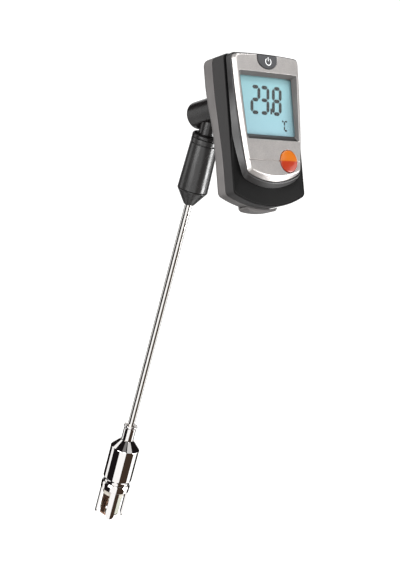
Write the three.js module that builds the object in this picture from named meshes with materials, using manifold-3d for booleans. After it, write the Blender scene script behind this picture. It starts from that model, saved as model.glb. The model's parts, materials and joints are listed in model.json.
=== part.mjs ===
// Hand-held surface-contact thermometer with a swivel display.
// Millimetres, +Z up along the probe, origin on the probe axis at the middle of the grip.
// The display faces -Y. Heights named "station" are measured along the probe from the swivel centre.
// Inside the case frame, X is to the right, Z is up the case, and depth runs forward from its back face.

import * as THREE from 'three';
import { mergeVertices } from 'three/addons/utils/BufferGeometryUtils.js';
import Module from 'manifold-3d';

const wasm = await Module();
wasm.setup();

// ---------------------------------------------------------------- driving dimensions

const gap = 0.3; // clearance between neighbouring pieces
const swivelHeight = 30; // swivel centre above the middle of the grip
const displayTilt = THREE.MathUtils.degToRad(30); // lean of the display away from the probe axis
const standOff = 24.5; // swivel centre to the back face of the case

const shaftRadius = 2;
const shaftWall = 0.5;
const gripTopRadius = 7.4;
const gripLowRadius = 8.1;
const gripBore = 6.2;
const bossRadius = 7.2;
const headRadius = 8.2;
const crownRadius = 7.87;
const crownWall = 0.87;
const prongWidth = 4.8;
const crownTurn = THREE.MathUtils.degToRad(-31.5); // where the first prong stands, from -Y towards -X

const station = {
  bossEnd: 13.4,
  neckLow: -13,
  capTop: -12.6,
  collarTop: -14.9,
  collarLow: -17.4,
  sleeveTop: -17.8,
  sleeveLow: -42.4,
  noseTip: -51,
  shaftTop: -30.5,
  headMouth: -181.7,
  shoulderTop: -190.7,
  shoulderLow: -195.5,
  bodyLow: -216.9,
  collarRim: -221.4,
  shaftLow: -184.5,
  carrierTop: -221.9,
  prongTip: -237.9,
};

const backDepth = 6.1; // joint between the two case halves
const ridgeDepth = 13.5; // front edge of the side walls
const panelDepth = 14.1; // seat of the raised face housing
const plateDepth = 19.3; // flat of the silver faceplate
const plateEdgeDepth = 17.3; // outer edge of its bevel
const lensDepth = 16; // back of the display window
const wall = 1.6;

const backBulge = 3.5; // how far the back swells out behind the swivel
const jointRise = 0.9; // how far forward the joint line lies at the foot
const jointDrop = 2.7; // how far it falls back from there to the top

const cellRadius = 5.25;
const cellLength = 44.5;
const cellDepth = 7;
const cellPitch = 10.9;
const screwSeats = [[-18.4, 14.6], [18.4, 14.6], [-19, -41.5], [19, -41.5]];

// The four outlines that shape the case, all drawn in X and Z and lofted along the depth.
const caseOutline = {
  halfTop: 23, halfLow: 23.3, top: 18.9, low: -49.2, arch: 0.9, belly: 6.1,
  topRadius: 3, lowRadius: 1.8, swell: 0, waist: 0,
};
const housingOutline = {
  halfTop: 22.3, halfLow: 17.6, top: 18.6, low: -41.8, arch: 0.9, belly: 4.6,
  topRadius: 2.8, lowRadius: 2, swell: 0, waist: 4.9,
};
const plateOutline = {
  halfTop: 21.6, halfLow: 17.1, top: 18.3, low: -39.4, arch: 0.8, belly: 4.5,
  topRadius: 2.4, lowRadius: 1.4, swell: 0.9, waist: 0,
};
const flatOutline = {
  halfTop: 20.1, halfLow: 15.9, top: 17.6, low: -38, arch: 1, belly: 3.1,
  topRadius: 2, lowRadius: 1, swell: 0.9, waist: 0,
};
const knee = -20; // height below which a waisted outline draws in
const windowCorners = { top: 9.9, low: -23.3, halfTop: 18.8, halfLow: 16.8 };
const glassCorners = { top: 8.3, low: -20.6, halfTop: 16.9, halfLow: 16.6 };
const button = { half: 6.3, top: 18.3, shoulder: 16.4, low: 11.8 };
const badge = { x: 8.8, z: -33.5, radius: 5.45 };

// ---------------------------------------------------------------- materials

function finish(color, roughness, metalness) {
  return new THREE.MeshStandardMaterial({ color, roughness, metalness });
}

const looks = {
  rearPlastic: () => finish(0x77797a, 0.6, 0),
  darkPlastic: () => finish(0x4a4b4d, 0.6, 0),
  jointPlastic: () => finish(0x2b2b2c, 0.35, 0),
  silver: () => finish(0xb4b2b0, 0.35, 0.6),
  keyRubber: () => finish(0x4b4b4d, 0.7, 0),
  orange: () => finish(0xe2641c, 0.2, 0),
  clear: () => finish(0xd8e6e8, 0.05, 0),
  display: () => finish(0x9fc6cf, 0.3, 0),
  board: () => finish(0x2c5a3c, 0.5, 0),
  chip: () => finish(0x1d1d1f, 0.4, 0),
  rubber: () => finish(0x1b1b1c, 0.8, 0),
  steel: () => finish(0xb9babb, 0.3, 1),
  chrome: () => finish(0xd4d2d1, 0.08, 1),
  brass: () => finish(0xb89b5a, 0.35, 1),
  bronze: () => finish(0xb98a6a, 0.35, 1),
  nickel: () => finish(0xb8b9ac, 0.3, 1),
  ceramic: () => finish(0xe9e5da, 0.5, 0),
  cellWrap: () => finish(0x2c4f78, 0.4, 0.2),
};

// ---------------------------------------------------------------- solid tools

const weldDistance = 1e-4;

// Keeps the positions only, welds them, drops empty triangles and turns the faces outwards.
function closed(geometry) {
  const bare = new THREE.BufferGeometry();
  bare.setAttribute('position', geometry.getAttribute('position'));
  if (geometry.index) bare.setIndex(geometry.index);
  const welded = mergeVertices(bare, weldDistance);
  const position = welded.getAttribute('position');
  const source = welded.index.array;
  const faces = [];
  const [a, b, c] = [new THREE.Vector3(), new THREE.Vector3(), new THREE.Vector3()];
  let sixVolumes = 0;
  for (let i = 0; i < source.length; i += 3) {
    const [p, q, r] = [source[i], source[i + 1], source[i + 2]];
    if (p === q || q === r || r === p) continue;
    faces.push(p, q, r);
    a.fromBufferAttribute(position, p);
    b.fromBufferAttribute(position, q);
    c.fromBufferAttribute(position, r);
    sixVolumes += a.dot(b.cross(c));
  }
  if (sixVolumes < 0) faces.reverse();
  welded.setIndex(faces);
  return welded;
}

function toSolid(geometry) {
  const mesh = closed(geometry);
  const vertProperties = Float32Array.from(mesh.getAttribute('position').array);
  const triVerts = Uint32Array.from(mesh.index.array);
  return new wasm.Manifold(new wasm.Mesh({ numProp: 3, vertProperties, triVerts }));
}

function fromSolid(solid) {
  const mesh = solid.getMesh();
  const geometry = new THREE.BufferGeometry();
  geometry.setAttribute('position', new THREE.BufferAttribute(new Float32Array(mesh.vertProperties), 3));
  geometry.setIndex(new THREE.BufferAttribute(new Uint32Array(mesh.triVerts), 1));
  return geometry;
}

function cut(base, ...tools) {
  return fromSolid(tools.reduce((solid, tool) => solid.subtract(toSolid(tool)), toSolid(base)));
}

function join(first, ...others) {
  return fromSolid(others.reduce((solid, other) => solid.add(toSolid(other)), toSolid(first)));
}

function common(first, second) {
  return fromSolid(toSolid(first).intersect(toSolid(second)));
}

// ---------------------------------------------------------------- shapes

// Turns a profile of [radius, height] points about Z. A profile that leaves the axis alone is closed.
function turned(profile, segments = 32) {
  const points = profile.map(([radius, height]) => new THREE.Vector2(radius, height));
  if (profile[0][0] > 0) points.push(points[0].clone());
  return new THREE.LatheGeometry(points, segments).rotateX(Math.PI / 2);
}

function rod(radius, low, high, segments = 20) {
  return turned([[0, low], [radius, low], [radius, high], [0, high]], segments);
}

function ring(inner, outer, low, high, segments = 24) {
  return turned([[inner, low], [outer, low], [outer, high], [inner, high]], segments);
}

// Lays a piece made along Z over, so that its Z becomes the depth of the case.
function facing(geometry, x = 0, z = 0) {
  return geometry.rotateX(Math.PI / 2).translate(x, 0, z);
}

// A flat piece of the case: an outline in X and Z, from one depth to another.
function slab(shape, near, far, curveSegments = 8) {
  const depth = far - near;
  const geometry = new THREE.ExtrudeGeometry(shape, { depth, bevelEnabled: false, curveSegments });
  return geometry.rotateX(Math.PI / 2).translate(0, -near, 0);
}

function roundedRect(left, low, right, high, radius) {
  const shape = new THREE.Shape();
  shape.moveTo(left + radius, low);
  shape.lineTo(right - radius, low);
  shape.quadraticCurveTo(right, low, right, low + radius);
  shape.lineTo(right, high - radius);
  shape.quadraticCurveTo(right, high, right - radius, high);
  shape.lineTo(left + radius, high);
  shape.quadraticCurveTo(left, high, left, high - radius);
  shape.lineTo(left, low + radius);
  shape.quadraticCurveTo(left, low, left + radius, low);
  return shape;
}

function block(left, low, right, high, near, far) {
  const box = new THREE.BoxGeometry(right - left, far - near, high - low);
  return box.translate((left + right) / 2, -(near + far) / 2, (low + high) / 2);
}

function quadratic(from, control, to, steps) {
  const curve = new THREE.QuadraticBezierCurve(
    new THREE.Vector2(...from), new THREE.Vector2(...control), new THREE.Vector2(...to));
  return curve.getPoints(steps);
}

function spread(from, to, steps, pointAt) {
  const points = [];
  for (let i = 0; i <= steps; i++) points.push(pointAt(from + (to - from) * i / steps));
  return points;
}

// Makes a closed symmetric line from its right half, which runs from one X = 0 point to the other.
function mirrored(rightHalf) {
  const leftHalf = rightHalf.slice(1, -1).reverse().map((p) => new THREE.Vector2(-p.x, p.y));
  return [...rightHalf, ...leftHalf];
}

// One case outline, shrunk by an inset: curved foot, sides that swell or draw in, and arched top.
function outlinePoints(outline, inset = 0) {
  const halfTop = outline.halfTop - inset;
  const halfLow = outline.halfLow - inset;
  const top = outline.top - inset;
  const low = outline.low + inset;
  const smallest = 0.4;
  const topRadius = Math.max(outline.topRadius - inset / 2, smallest);
  const lowRadius = Math.max(outline.lowRadius - inset / 2, smallest);
  const at = (x, z) => new THREE.Vector2(x, z);
  const footZ = (x) => low - outline.belly * (1 - (x / halfLow) ** 2);
  const headZ = (x) => top + outline.arch * (1 - (x / halfTop) ** 2);
  const sideX = (z) => {
    const t = (z - low) / (top - low);
    const drawn = outline.waist * Math.max(0, (knee - z) / (knee - low)) ** 1.3;
    const straight = halfLow + outline.waist;
    return straight + (halfTop - straight) * t + outline.swell * 4 * t * (1 - t) - drawn;
  };
  const footEnd = halfLow - lowRadius;
  const headEnd = halfTop - topRadius;
  const sideLow = low + lowRadius;
  const sideTop = top - topRadius;
  return mirrored([
    ...spread(0, footEnd, 6, (x) => at(x, footZ(x))),
    ...quadratic([footEnd, footZ(footEnd)], [halfLow, low], [sideX(sideLow), sideLow], 4).slice(1, -1),
    ...spread(sideLow, sideTop, 8, (z) => at(sideX(z), z)),
    ...quadratic([sideX(sideTop), sideTop], [halfTop, top], [headEnd, headZ(headEnd)], 4).slice(1, -1),
    ...spread(headEnd, 0, 3, (x) => at(x, headZ(x))),
  ]);
}

// The power button's outline: flat top, short sides and a half-ellipse below.
function buttonPoints(outset = 0, top = button.top) {
  const half = button.half + outset;
  const drop = button.shoulder - button.low + outset;
  const quarter = Math.PI / 2;
  const foot = (a) => new THREE.Vector2(half * Math.sin(a), button.shoulder - drop * Math.cos(a));
  return mirrored([
    ...spread(0, quarter, 6, foot),
    new THREE.Vector2(half, top),
    new THREE.Vector2(0, top),
  ]);
}

function quadPoints({ top, low, halfTop, halfLow }, radius = 1.2) {
  const slope = (halfTop - halfLow) / (top - low);
  return mirrored([
    new THREE.Vector2(0, low),
    ...quadratic([halfLow - radius, low], [halfLow, low], [halfLow + slope * radius, low + radius], 4),
    ...quadratic([halfTop - slope * radius, top - radius], [halfTop, top], [halfTop - radius, top], 4),
    new THREE.Vector2(0, top),
  ]);
}

// Depth in the case as it is, for a nominal depth: the back bulges towards the top, and the joint line follows it.
function bowed(depth, z) {
  const { smoothstep, clamp, lerp } = THREE.MathUtils;
  const back = -backBulge * smoothstep(z, -24, 8);
  const joint = jointRise - jointDrop * smoothstep(z, -37, 8);
  const backShare = clamp((depth - 3) / 3, 0, 1);
  const frontShare = clamp((depth - 6.5) / 5.5, 0, 1);
  return depth + lerp(lerp(back, joint, backShare), 0, frontShare);
}

// Covers a symmetric outline with strips between the points that face each other.
function rungs(count) {
  const faces = [];
  for (let i = 0; i < count / 2; i++) {
    const [left, nextLeft] = [(count - i) % count, count - i - 1];
    if (left !== i) faces.push(i, i + 1, left);
    if (nextLeft !== i + 1) faces.push(i + 1, nextLeft, left);
  }
  return faces;
}

// A solid skinned over symmetric outlines of the same number of points, each at its own depth.
function loft(layers) {
  const count = layers[0][0].length;
  const positions = [];
  for (const [points, depth, isBowed] of layers) {
    for (const p of points) positions.push(p.x, -(isBowed ? bowed(depth, p.y) : depth), p.y);
  }
  const faces = [];
  for (let layer = 0; layer + 1 < layers.length; layer++) {
    for (let i = 0; i < count; i++) {
      const here = layer * count + i;
      const next = layer * count + (i + 1) % count;
      faces.push(here, next, here + count, next, next + count, here + count);
    }
  }
  const last = (layers.length - 1) * count;
  const [back, front] = [layers[0], layers.at(-1)].map(([points, , isBowed]) => {
    return isBowed ? rungs(count) : THREE.ShapeUtils.triangulateShape(points, []).flat();
  });
  faces.push(...back.reverse(), ...front.map((i) => last + i));
  const geometry = new THREE.BufferGeometry();
  geometry.setAttribute('position', new THREE.Float32BufferAttribute(positions, 3));
  geometry.setIndex(faces);
  return geometry;
}

// A closed ring with a gap in it, such as a retaining clip, lying across Z.
function clip(inner, outer, low, high, gapAngle) {
  const half = gapAngle / 2;
  const turn = 2 * Math.PI;
  const shape = new THREE.Shape();
  shape.absarc(0, 0, outer, half, turn - half, false);
  shape.absarc(0, 0, inner, turn - half, half, true);
  const settings = { depth: high - low, bevelEnabled: false, curveSegments: 8 };
  return new THREE.ExtrudeGeometry(shape, settings).translate(0, 0, low);
}

class Helix extends THREE.Curve {
  constructor(radiusAt, low, high, turns) {
    super();
    Object.assign(this, { radiusAt, low, high, turns });
  }

  getPoint(t, target = new THREE.Vector3()) {
    const angle = t * this.turns * 2 * Math.PI;
    const radius = this.radiusAt(t);
    const height = this.low + (this.high - this.low) * t;
    return target.set(radius * Math.cos(angle), radius * Math.sin(angle), height);
  }
}

function coil(radiusAt, low, high, turns, wire, stepsPerTurn = 10) {
  const section = new THREE.Shape();
  section.absarc(0, 0, wire, 0, 2 * Math.PI);
  const path = new Helix(radiusAt, low + wire, high - wire, turns);
  const steps = turns * stepsPerTurn;
  return new THREE.ExtrudeGeometry(section, { extrudePath: path, steps, curveSegments: 2 });
}

// ---------------------------------------------------------------- assembly frames

const instrument = new THREE.Group();
const swivel = new THREE.Group(); // origin where the probe axis meets the boss axis
swivel.position.z = swivelHeight;
instrument.add(swivel);

const caseFrame = new THREE.Group(); // origin at the back face, on the boss axis
caseFrame.rotation.x = -displayTilt;
caseFrame.position.set(0, -standOff * Math.cos(displayTilt), standOff * Math.sin(displayTilt));
swivel.add(caseFrame);

function add(frame, name, geometry, material) {
  const mesh = new THREE.Mesh(closed(geometry), material());
  mesh.name = name;
  frame.add(mesh);
}

// ---------------------------------------------------------------- probe: grip, shaft and head

function buildGrip() {
  const pivotBore = 3.75;
  const spigot = 5.9;
  const capLow = station.collarTop + gap;
  const bushTop = station.collarLow;
  const dish = station.neckLow - gap;
  add(swivel, 'swivel_cap', turned([
    [pivotBore, dish], [6, dish], [6.3, station.capTop], [6.8, station.capTop - 0.1],
    [7.2, station.capTop - 0.4], [gripTopRadius, station.capTop - 0.9], [gripTopRadius, capLow],
    [spigot, capLow], [spigot, bushTop + gap], [pivotBore, bushTop + gap],
  ]), looks.jointPlastic);

  const chamfer = 0.35;
  add(swivel, 'grip_collar', turned([
    [gripBore, station.collarTop], [gripTopRadius - chamfer, station.collarTop],
    [gripTopRadius, station.collarTop - chamfer], [gripTopRadius, station.collarLow + chamfer],
    [gripTopRadius - chamfer, station.collarLow], [gripBore, station.collarLow],
  ]), looks.darkPlastic);

  add(swivel, 'grip_sleeve', turned([
    [gripBore, station.sleeveTop], [gripTopRadius - chamfer, station.sleeveTop],
    [gripTopRadius, station.sleeveTop - chamfer], [gripLowRadius, station.sleeveLow],
    [gripBore, station.sleeveLow],
  ]), looks.darkPlastic);

  add(swivel, 'pivot_bush', ring(pivotBore, spigot, bushTop - 6.8, bushTop), looks.brass);
  add(swivel, 'friction_washer', ring(pivotBore, 5.6, -24.95, -24.5), looks.steel);

  const plugTop = -34.2;
  const coneTop = station.sleeveLow - gap;
  const bore = shaftRadius + gap;
  add(swivel, 'nose_cone', turned([
    [bore, plugTop], [spigot, plugTop], [spigot, coneTop], [gripLowRadius, coneTop],
    [gripLowRadius, coneTop - 0.4], [3.3, station.noseTip + 0.7], [2.9, station.noseTip],
    [bore, station.noseTip],
  ]), looks.darkPlastic);
}

function buildShaft() {
  const inner = shaftRadius - shaftWall;
  add(swivel, 'shaft_tube', ring(inner, shaftRadius, station.shaftLow, station.shaftTop, 20), looks.steel);
  add(swivel, 'shaft_ferrule', ring(shaftRadius + gap, 4.4, -33.6, -29.6, 16), looks.brass);
  add(swivel, 'thermocouple_lead', rod(0.7, -206, -28.5, 12), looks.nickel);
}

function buildHead() {
  const neckRadius = 3.5;
  const lipRadius = 3.9;
  const bore = shaftRadius + gap;
  const mouth = station.headMouth;
  const neckLow = station.shoulderTop + gap;
  const spigot = 2.9;
  add(swivel, 'head_neck', turned([
    [bore, mouth - 1.4], [3.1, mouth - 0.2], [3.4, mouth], [lipRadius, mouth - 0.4],
    [lipRadius, mouth - 1.1], [neckRadius, mouth - 1.5], [neckRadius, neckLow],
    [spigot, neckLow], [spigot, neckLow - 5], [bore, neckLow - 5],
  ]), looks.chrome);

  const cavity = 6.9;
  const cavityTop = -197.6;
  const neckSeat = spigot + gap;
  add(swivel, 'head_body', turned([
    [neckSeat, station.shoulderTop], [neckRadius + 0.2, station.shoulderTop],
    [headRadius - 0.2, station.shoulderLow + 0.2], [headRadius, station.shoulderLow - 0.2],
    [headRadius, station.bodyLow + 2.6], [7.7, station.bodyLow + 1.6], [7.6, station.bodyLow],
    [cavity, station.bodyLow], [cavity, cavityTop], [neckSeat, cavityTop],
  ], 40), looks.chrome);

  const collarTop = station.bodyLow - gap;
  const collarBore = 6.2;
  const seat = cavity - gap;
  const crownBore = crownRadius - crownWall;
  const crownCollar = turned([
    [collarBore, collarTop + 3.5], [seat, collarTop + 3.5], [seat, collarTop], [7.6, collarTop],
    [headRadius, collarTop - 1.4], [headRadius, station.collarRim + 0.2],
    [headRadius - 0.2, station.collarRim], [crownBore, station.collarRim], [collarBore, collarTop - 3.4],
  ], 40);
  const prongTube = ring(crownBore, crownRadius, station.prongTip - 1, station.collarRim + 0.5, 40);
  const half = prongWidth / 2;
  const tip = station.prongTip + half;
  const prong = new THREE.Shape();
  prong.moveTo(-half, station.collarRim + 2);
  prong.absarc(0, tip, half, Math.PI, 2 * Math.PI, false);
  prong.lineTo(half, station.collarRim + 2);
  const across = headRadius + 1;
  const prongPair = () => slab(prong, -across, across, 6);
  const prongs = common(prongTube, join(prongPair(), prongPair().rotateZ(Math.PI / 2)));
  add(swivel, 'sensor_crown', join(crownCollar, prongs).rotateZ(crownTurn), looks.chrome);

  const stemBore = 2.9;
  const guideTop = collarTop + 3;
  add(swivel, 'sensor_guide', ring(stemBore, collarBore - gap, -220.4, guideTop), looks.ceramic);
  add(swivel, 'sensor_spring', coil(() => 4.2, -211.6, -198, 6, 0.35), looks.steel);
}

// A U-shaped strip in X and Z: two legs, round corners and a bowed foot.
function bandShape(reach, corner, legTop, foot, bow, thickness) {
  const side = (offset) => {
    const r = reach - offset;
    const z = foot + offset;
    const c = corner - offset;
    return [
      ...quadratic([-r, z + c], [-r, z], [-r + c, z], 6),
      ...quadratic([-r + c, z], [0, z - 2 * bow], [r - c, z], 12).slice(1, -1),
      ...quadratic([r - c, z], [r, z], [r, z + c], 6),
    ];
  };
  const outer = [new THREE.Vector2(-reach, legTop), ...side(0), new THREE.Vector2(reach, legTop)];
  const inner = side(thickness).reverse();
  const innerReach = reach - thickness;
  const innerLine = [
    new THREE.Vector2(innerReach, legTop), ...inner, new THREE.Vector2(-innerReach, legTop),
  ];
  return new THREE.Shape([...outer, ...innerLine]);
}

function buildSensor() {
  const stemRadius = 2.6;
  const leadBore = 1.1;
  const discLow = station.carrierTop - 3;
  add(swivel, 'band_carrier', turned([
    [leadBore, -209], [stemRadius, -209], [stemRadius, station.carrierTop],
    [5.9, station.carrierTop], [6.1, station.carrierTop - 0.3], [6.1, discLow], [leadBore, discLow],
  ]), looks.ceramic);
  add(swivel, 'stem_nut', ring(stemRadius + gap, 4.8, -213.6, -211.9, 24), looks.brass);

  const bandWidth = 3.2;
  const thickness = 0.25;
  const foot = station.prongTip + 0.3;
  const legTop = discLow - gap;
  const bows = { sensor_band_outer: 1.1, sensor_band_inner: 0.35 };
  const betweenProngs = crownTurn + Math.PI / 4;
  Object.entries(bows).forEach(([name, bow], index) => {
    const shape = bandShape(5.9 - 0.4 * index, 2.4, legTop, foot, bow, thickness);
    const strip = slab(shape, -bandWidth / 2, bandWidth / 2);
    const look = index === 0 ? looks.bronze : looks.nickel;
    add(swivel, name, strip.rotateZ(betweenProngs + index * Math.PI / 2), look);
  });
}

// ---------------------------------------------------------------- elbow between grip and case

function buildElbow() {
  const spigot = 3.9;
  const spigotEnd = 3.4;
  const bossEnd = -(standOff + station.bossEnd);
  const toSwivel = (geometry) => facing(geometry).translate(0, -standOff, 0).rotateX(-displayTilt);
  const boss = toSwivel(turned([
    [0, bossEnd], [5.6, bossEnd], [6.7, bossEnd + 0.4], [bossRadius, bossEnd + 1.4],
    [bossRadius, -gap], [spigot, -gap], [spigot, spigotEnd], [0, spigotEnd],
  ]));
  const pivot = 3.4;
  const pivotEnd = -27;
  const neckRadius = 4.6;
  const neck = turned([
    [0, 0], [neckRadius, 0], [neckRadius, station.neckLow], [pivot, station.neckLow], [pivot, pivotEnd], [0, pivotEnd],
  ]);
  const wireBore = 1.8;
  const groove = 2.9;
  add(swivel, 'swivel_elbow', cut(
    join(boss, neck),
    toSwivel(rod(wireBore, -standOff, spigotEnd + 1, 12)),
    rod(wireBore, pivotEnd - 1, 0, 12),
    ring(groove, pivot + 1, -26.2, -25.3),
    toSwivel(ring(spigot - 0.6, spigot + 1, 2, 2.9)),
  ), looks.jointPlastic);
  const gapAngle = THREE.MathUtils.degToRad(70);
  add(swivel, 'pivot_clip', clip(groove + 0.2, 4.8, -26.05, -25.45, gapAngle), looks.steel);
  add(caseFrame, 'display_swivel_clip', facing(clip(3.5, 4.9, 2.15, 2.75, gapAngle)), looks.steel);
}

// ---------------------------------------------------------------- case halves and battery cover

const caseLayer = (inset, depth) => [outlinePoints(caseOutline, inset), depth, true];

function rearSolid() {
  return loft([
    caseLayer(2.2, 0), caseLayer(0.9, 0.6), caseLayer(0.2, 1.8), caseLayer(0, 3),
    caseLayer(0, backDepth - 0.35), caseLayer(0.35, backDepth),
  ]);
}

const cover = { half: 16.2, top: -12.3, depth: 1.4, tabHalf: 9.8, tabDrop: 1.5, tabFar: 7 };

function buildRearShell() {
  const cavity = loft([
    caseLayer(3.2, wall), caseLayer(1.8, wall + 1), caseLayer(wall, wall + 2.4), caseLayer(wall, backDepth + 1),
  ]);
  const behind = -8;
  const socket = facing(rod(10.4, behind + 0.5, wall, 32));
  const socketBore = facing(rod(bossRadius + gap, behind, 0, 32));
  const spigotHole = facing(rod(4.2, -1, wall + 1));
  const far = cover.half + gap;
  const opening = block(-far, -60, far, cover.top + gap, behind, cover.depth + gap);
  const posts = screwSeats.map(([x, z]) => {
    return facing(rod(2.7, bowed(1, z), bowed(backDepth, z) - 0.1, 12), x, z);
  });
  const shankHoles = screwSeats.map(([x, z]) => facing(rod(1.25, -1, backDepth + 1, 10), x, z));
  const headHoles = screwSeats.map(([x, z]) => facing(rod(2.2, behind, 1.7, 12), x, z));
  const shell = join(cut(rearSolid(), cavity), socket, ...posts);
  const rear = cut(shell, socketBore, spigotHole, opening, ...shankHoles, ...headHoles);
  add(caseFrame, 'rear_shell', rear, looks.rearPlastic);
}

// A strip that follows the curved foot of the case, between two offsets below it.
function footStrip(half, upper, lower, near, far) {
  const { halfLow, low, belly } = caseOutline;
  const footZ = (x) => low - belly * (1 - (x / halfLow) ** 2);
  const below = spread(-half, half, 10, (x) => new THREE.Vector2(x, footZ(x) - lower));
  const above = spread(half, -half, 10, (x) => new THREE.Vector2(x, footZ(x) - upper));
  return slab(new THREE.Shape([...below, ...above]), near, far);
}

function buildBatteryCover() {
  const plate = common(rearSolid(), block(-cover.half, -60, cover.half, cover.top, -backBulge, cover.depth));
  const lower = gap + cover.tabDrop;
  const tab = footStrip(cover.tabHalf, gap, lower, 0.3, cover.tabFar);
  const root = footStrip(cover.tabHalf, -3, lower, 0.3, cover.depth);
  const hookX = cellPitch / 2;
  const hooks = [-hookX, hookX].map((x) => block(x - 1, cover.top - 2, x + 1, cover.top + 1.6, 1.9, 2.8));
  const hookFeet = [-hookX, hookX].map((x) => block(x - 1, cover.top - 2, x + 1, cover.top - 0.2, 1, 2.2));
  const ribCount = 7;
  const grooves = [];
  for (let i = 0; i < ribCount; i++) {
    const x = (i - (ribCount - 1) / 2) * 2.4;
    const z = caseOutline.low - caseOutline.belly - lower;
    grooves.push(block(x - 0.35, z - 0.6, x + 0.35, z + 0.45, 2.2, cover.tabFar - 0.9));
  }
  const body = join(plate, tab, root, ...hooks, ...hookFeet);
  add(caseFrame, 'battery_cover', cut(body, ...grooves), looks.rearPlastic);
}

function buildFrontShell() {
  const near = backDepth + gap;
  const outer = loft([
    caseLayer(0.35, near), caseLayer(0, near + 0.35), caseLayer(0, ridgeDepth - 0.4),
    caseLayer(0.35, ridgeDepth), caseLayer(0.65, ridgeDepth), caseLayer(0.8, ridgeDepth - 0.2),
    [outlinePoints(housingOutline), panelDepth],
  ]);
  const ceiling = 12.7;
  const cavity = loft([caseLayer(wall, near - 1), caseLayer(wall, ceiling - 1), caseLayer(2.4, ceiling)]);
  const boardPocket = slab(roundedRect(-19.6, -22.4, 19.6, 12, 0.8), ceiling - 1, panelDepth + 1);
  const switchPocket = block(-6.6, 11, 6.6, 17.5, ceiling - 1, panelDepth + 1);
  const posts = screwSeats.map(([x, z]) => facing(rod(2.4, bowed(near, z) + 0.5, ceiling + 0.5, 12), x, z));
  const threads = screwSeats.map(([x, z]) => facing(rod(1.25, near - 2, 12.2, 10), x, z));
  const shell = cut(join(cut(outer, cavity), ...posts), boardPocket, switchPocket, ...threads);
  add(caseFrame, 'front_shell', shell, looks.darkPlastic);
}

function buildScrews() {
  screwSeats.forEach(([x, z], index) => {
    const body = turned([
      [0, 0.3], [1.7, 0.3], [1.9, 0.6], [1.9, 1.4], [0.95, 1.4], [0.95, 11.5], [0, 11.8],
    ], 12);
    const slots = [0, Math.PI / 2].map((turn) => {
      return new THREE.BoxGeometry(2.2, 0.5, 0.8).translate(0, 0, 0.3).rotateZ(turn);
    });
    add(caseFrame, `case_screw_${index + 1}`, facing(cut(body, ...slots), x, z), looks.steel);
  });
}

// ---------------------------------------------------------------- face of the case

function buildFace() {
  const recessDepth = 16.2;
  const plateLayer = (inset, depth) => [outlinePoints(plateOutline, inset), depth];
  const flatLayer = (inset, depth) => [outlinePoints(flatOutline, inset), depth];
  const housing = join(
    cut(
      loft([[outlinePoints(housingOutline, 0.1), panelDepth + gap], plateLayer(-0.4, plateEdgeDepth + 0.1)]),
      loft([plateLayer(0, recessDepth), plateLayer(0, plateEdgeDepth + 2)]),
    ),
    loft([plateLayer(1.3, recessDepth - 0.4), plateLayer(1.5, plateEdgeDepth - 0.3), flatLayer(1, 18.1)]),
  );
  const funnel = loft([
    [quadPoints(glassCorners), lensDepth], [quadPoints(glassCorners), lensDepth + 0.95],
    [quadPoints(windowCorners), plateDepth],
  ]);
  const lensPocket = slab(roundedRect(-18.4, -21.2, 18.4, 10.7, 0.8), panelDepth, lensDepth + 0.95);
  const buttonWell = loft([[buttonPoints(gap), 15.8], [buttonPoints(gap), plateDepth]]);
  const stemHole = facing(rod(1.8, panelDepth, plateDepth, 24), 0, (button.top + button.low) / 2);
  add(caseFrame, 'face_housing', cut(housing, funnel, lensPocket, buttonWell, stemHole), looks.darkPlastic);

  const skin = cut(
    loft([plateLayer(0.35, 16.8), plateLayer(0.35, plateEdgeDepth), flatLayer(0, plateDepth)]),
    loft([plateLayer(1.1, 16), plateLayer(1.1, plateEdgeDepth), flatLayer(0.7, 18.4)]),
  );
  const window = loft([[quadPoints(windowCorners), 15], [quadPoints(windowCorners), plateDepth + 1]]);
  const buttonNotch = loft([[buttonPoints(gap, 24), 15], [buttonPoints(gap, 24), plateDepth + 1]]);
  const badgeHole = facing(rod(badge.radius + gap, 15, plateDepth + 1, 28), badge.x, badge.z);
  const scoreHalf = 0.25;
  const score = block(-30, badge.z - scoreHalf, 30, badge.z + scoreHalf, plateDepth - 0.3, plateDepth + 1);
  add(caseFrame, 'faceplate', cut(skin, window, buttonNotch, badgeHole, score), looks.silver);

  add(caseFrame, 'accent_badge', facing(turned([
    [0, 18.4], [badge.radius, 18.4], [badge.radius, 19.2], [badge.radius - 0.4, 19.6],
    [3.6, 20], [1.8, 20.25], [0, 20.3],
  ]), badge.x, badge.z), looks.orange);
}

function buildButton() {
  const middle = (button.top + button.low) / 2;
  const cap = loft([
    [buttonPoints(), 16.4], [buttonPoints(), plateDepth - 0.2],
    [buttonPoints(-0.5, button.top - 0.4), plateDepth + 0.3],
  ]);
  const stem = facing(rod(1.2, 15.4, 16.8, 20), 0, middle);
  add(caseFrame, 'power_button', join(cap, stem), looks.keyRubber);
}

// ---------------------------------------------------------------- inside the case

function buildDisplay() {
  const glass = roundedRect(-18, -20.8, 18, 10.3, 0.8);
  add(caseFrame, 'display_window', slab(glass, lensDepth, lensDepth + 0.6), looks.clear);
  add(caseFrame, 'display_panel', slab(roundedRect(-17.8, -20.6, 17.8, 10.1, 0.4), 14.7, 15.7), looks.display);
  add(caseFrame, 'display_reflector', slab(roundedRect(-17.6, -17.4, 17.6, 7, 0.4), 13.9, 14.4), looks.ceramic);
  add(caseFrame, 'contact_strip_upper', block(-17, 8, 17, 10.4, 13.9, 14.4), looks.rubber);
  add(caseFrame, 'contact_strip_lower', block(-17, -20.8, 17, -18.4, 13.9, 14.4), looks.rubber);
}

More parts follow.
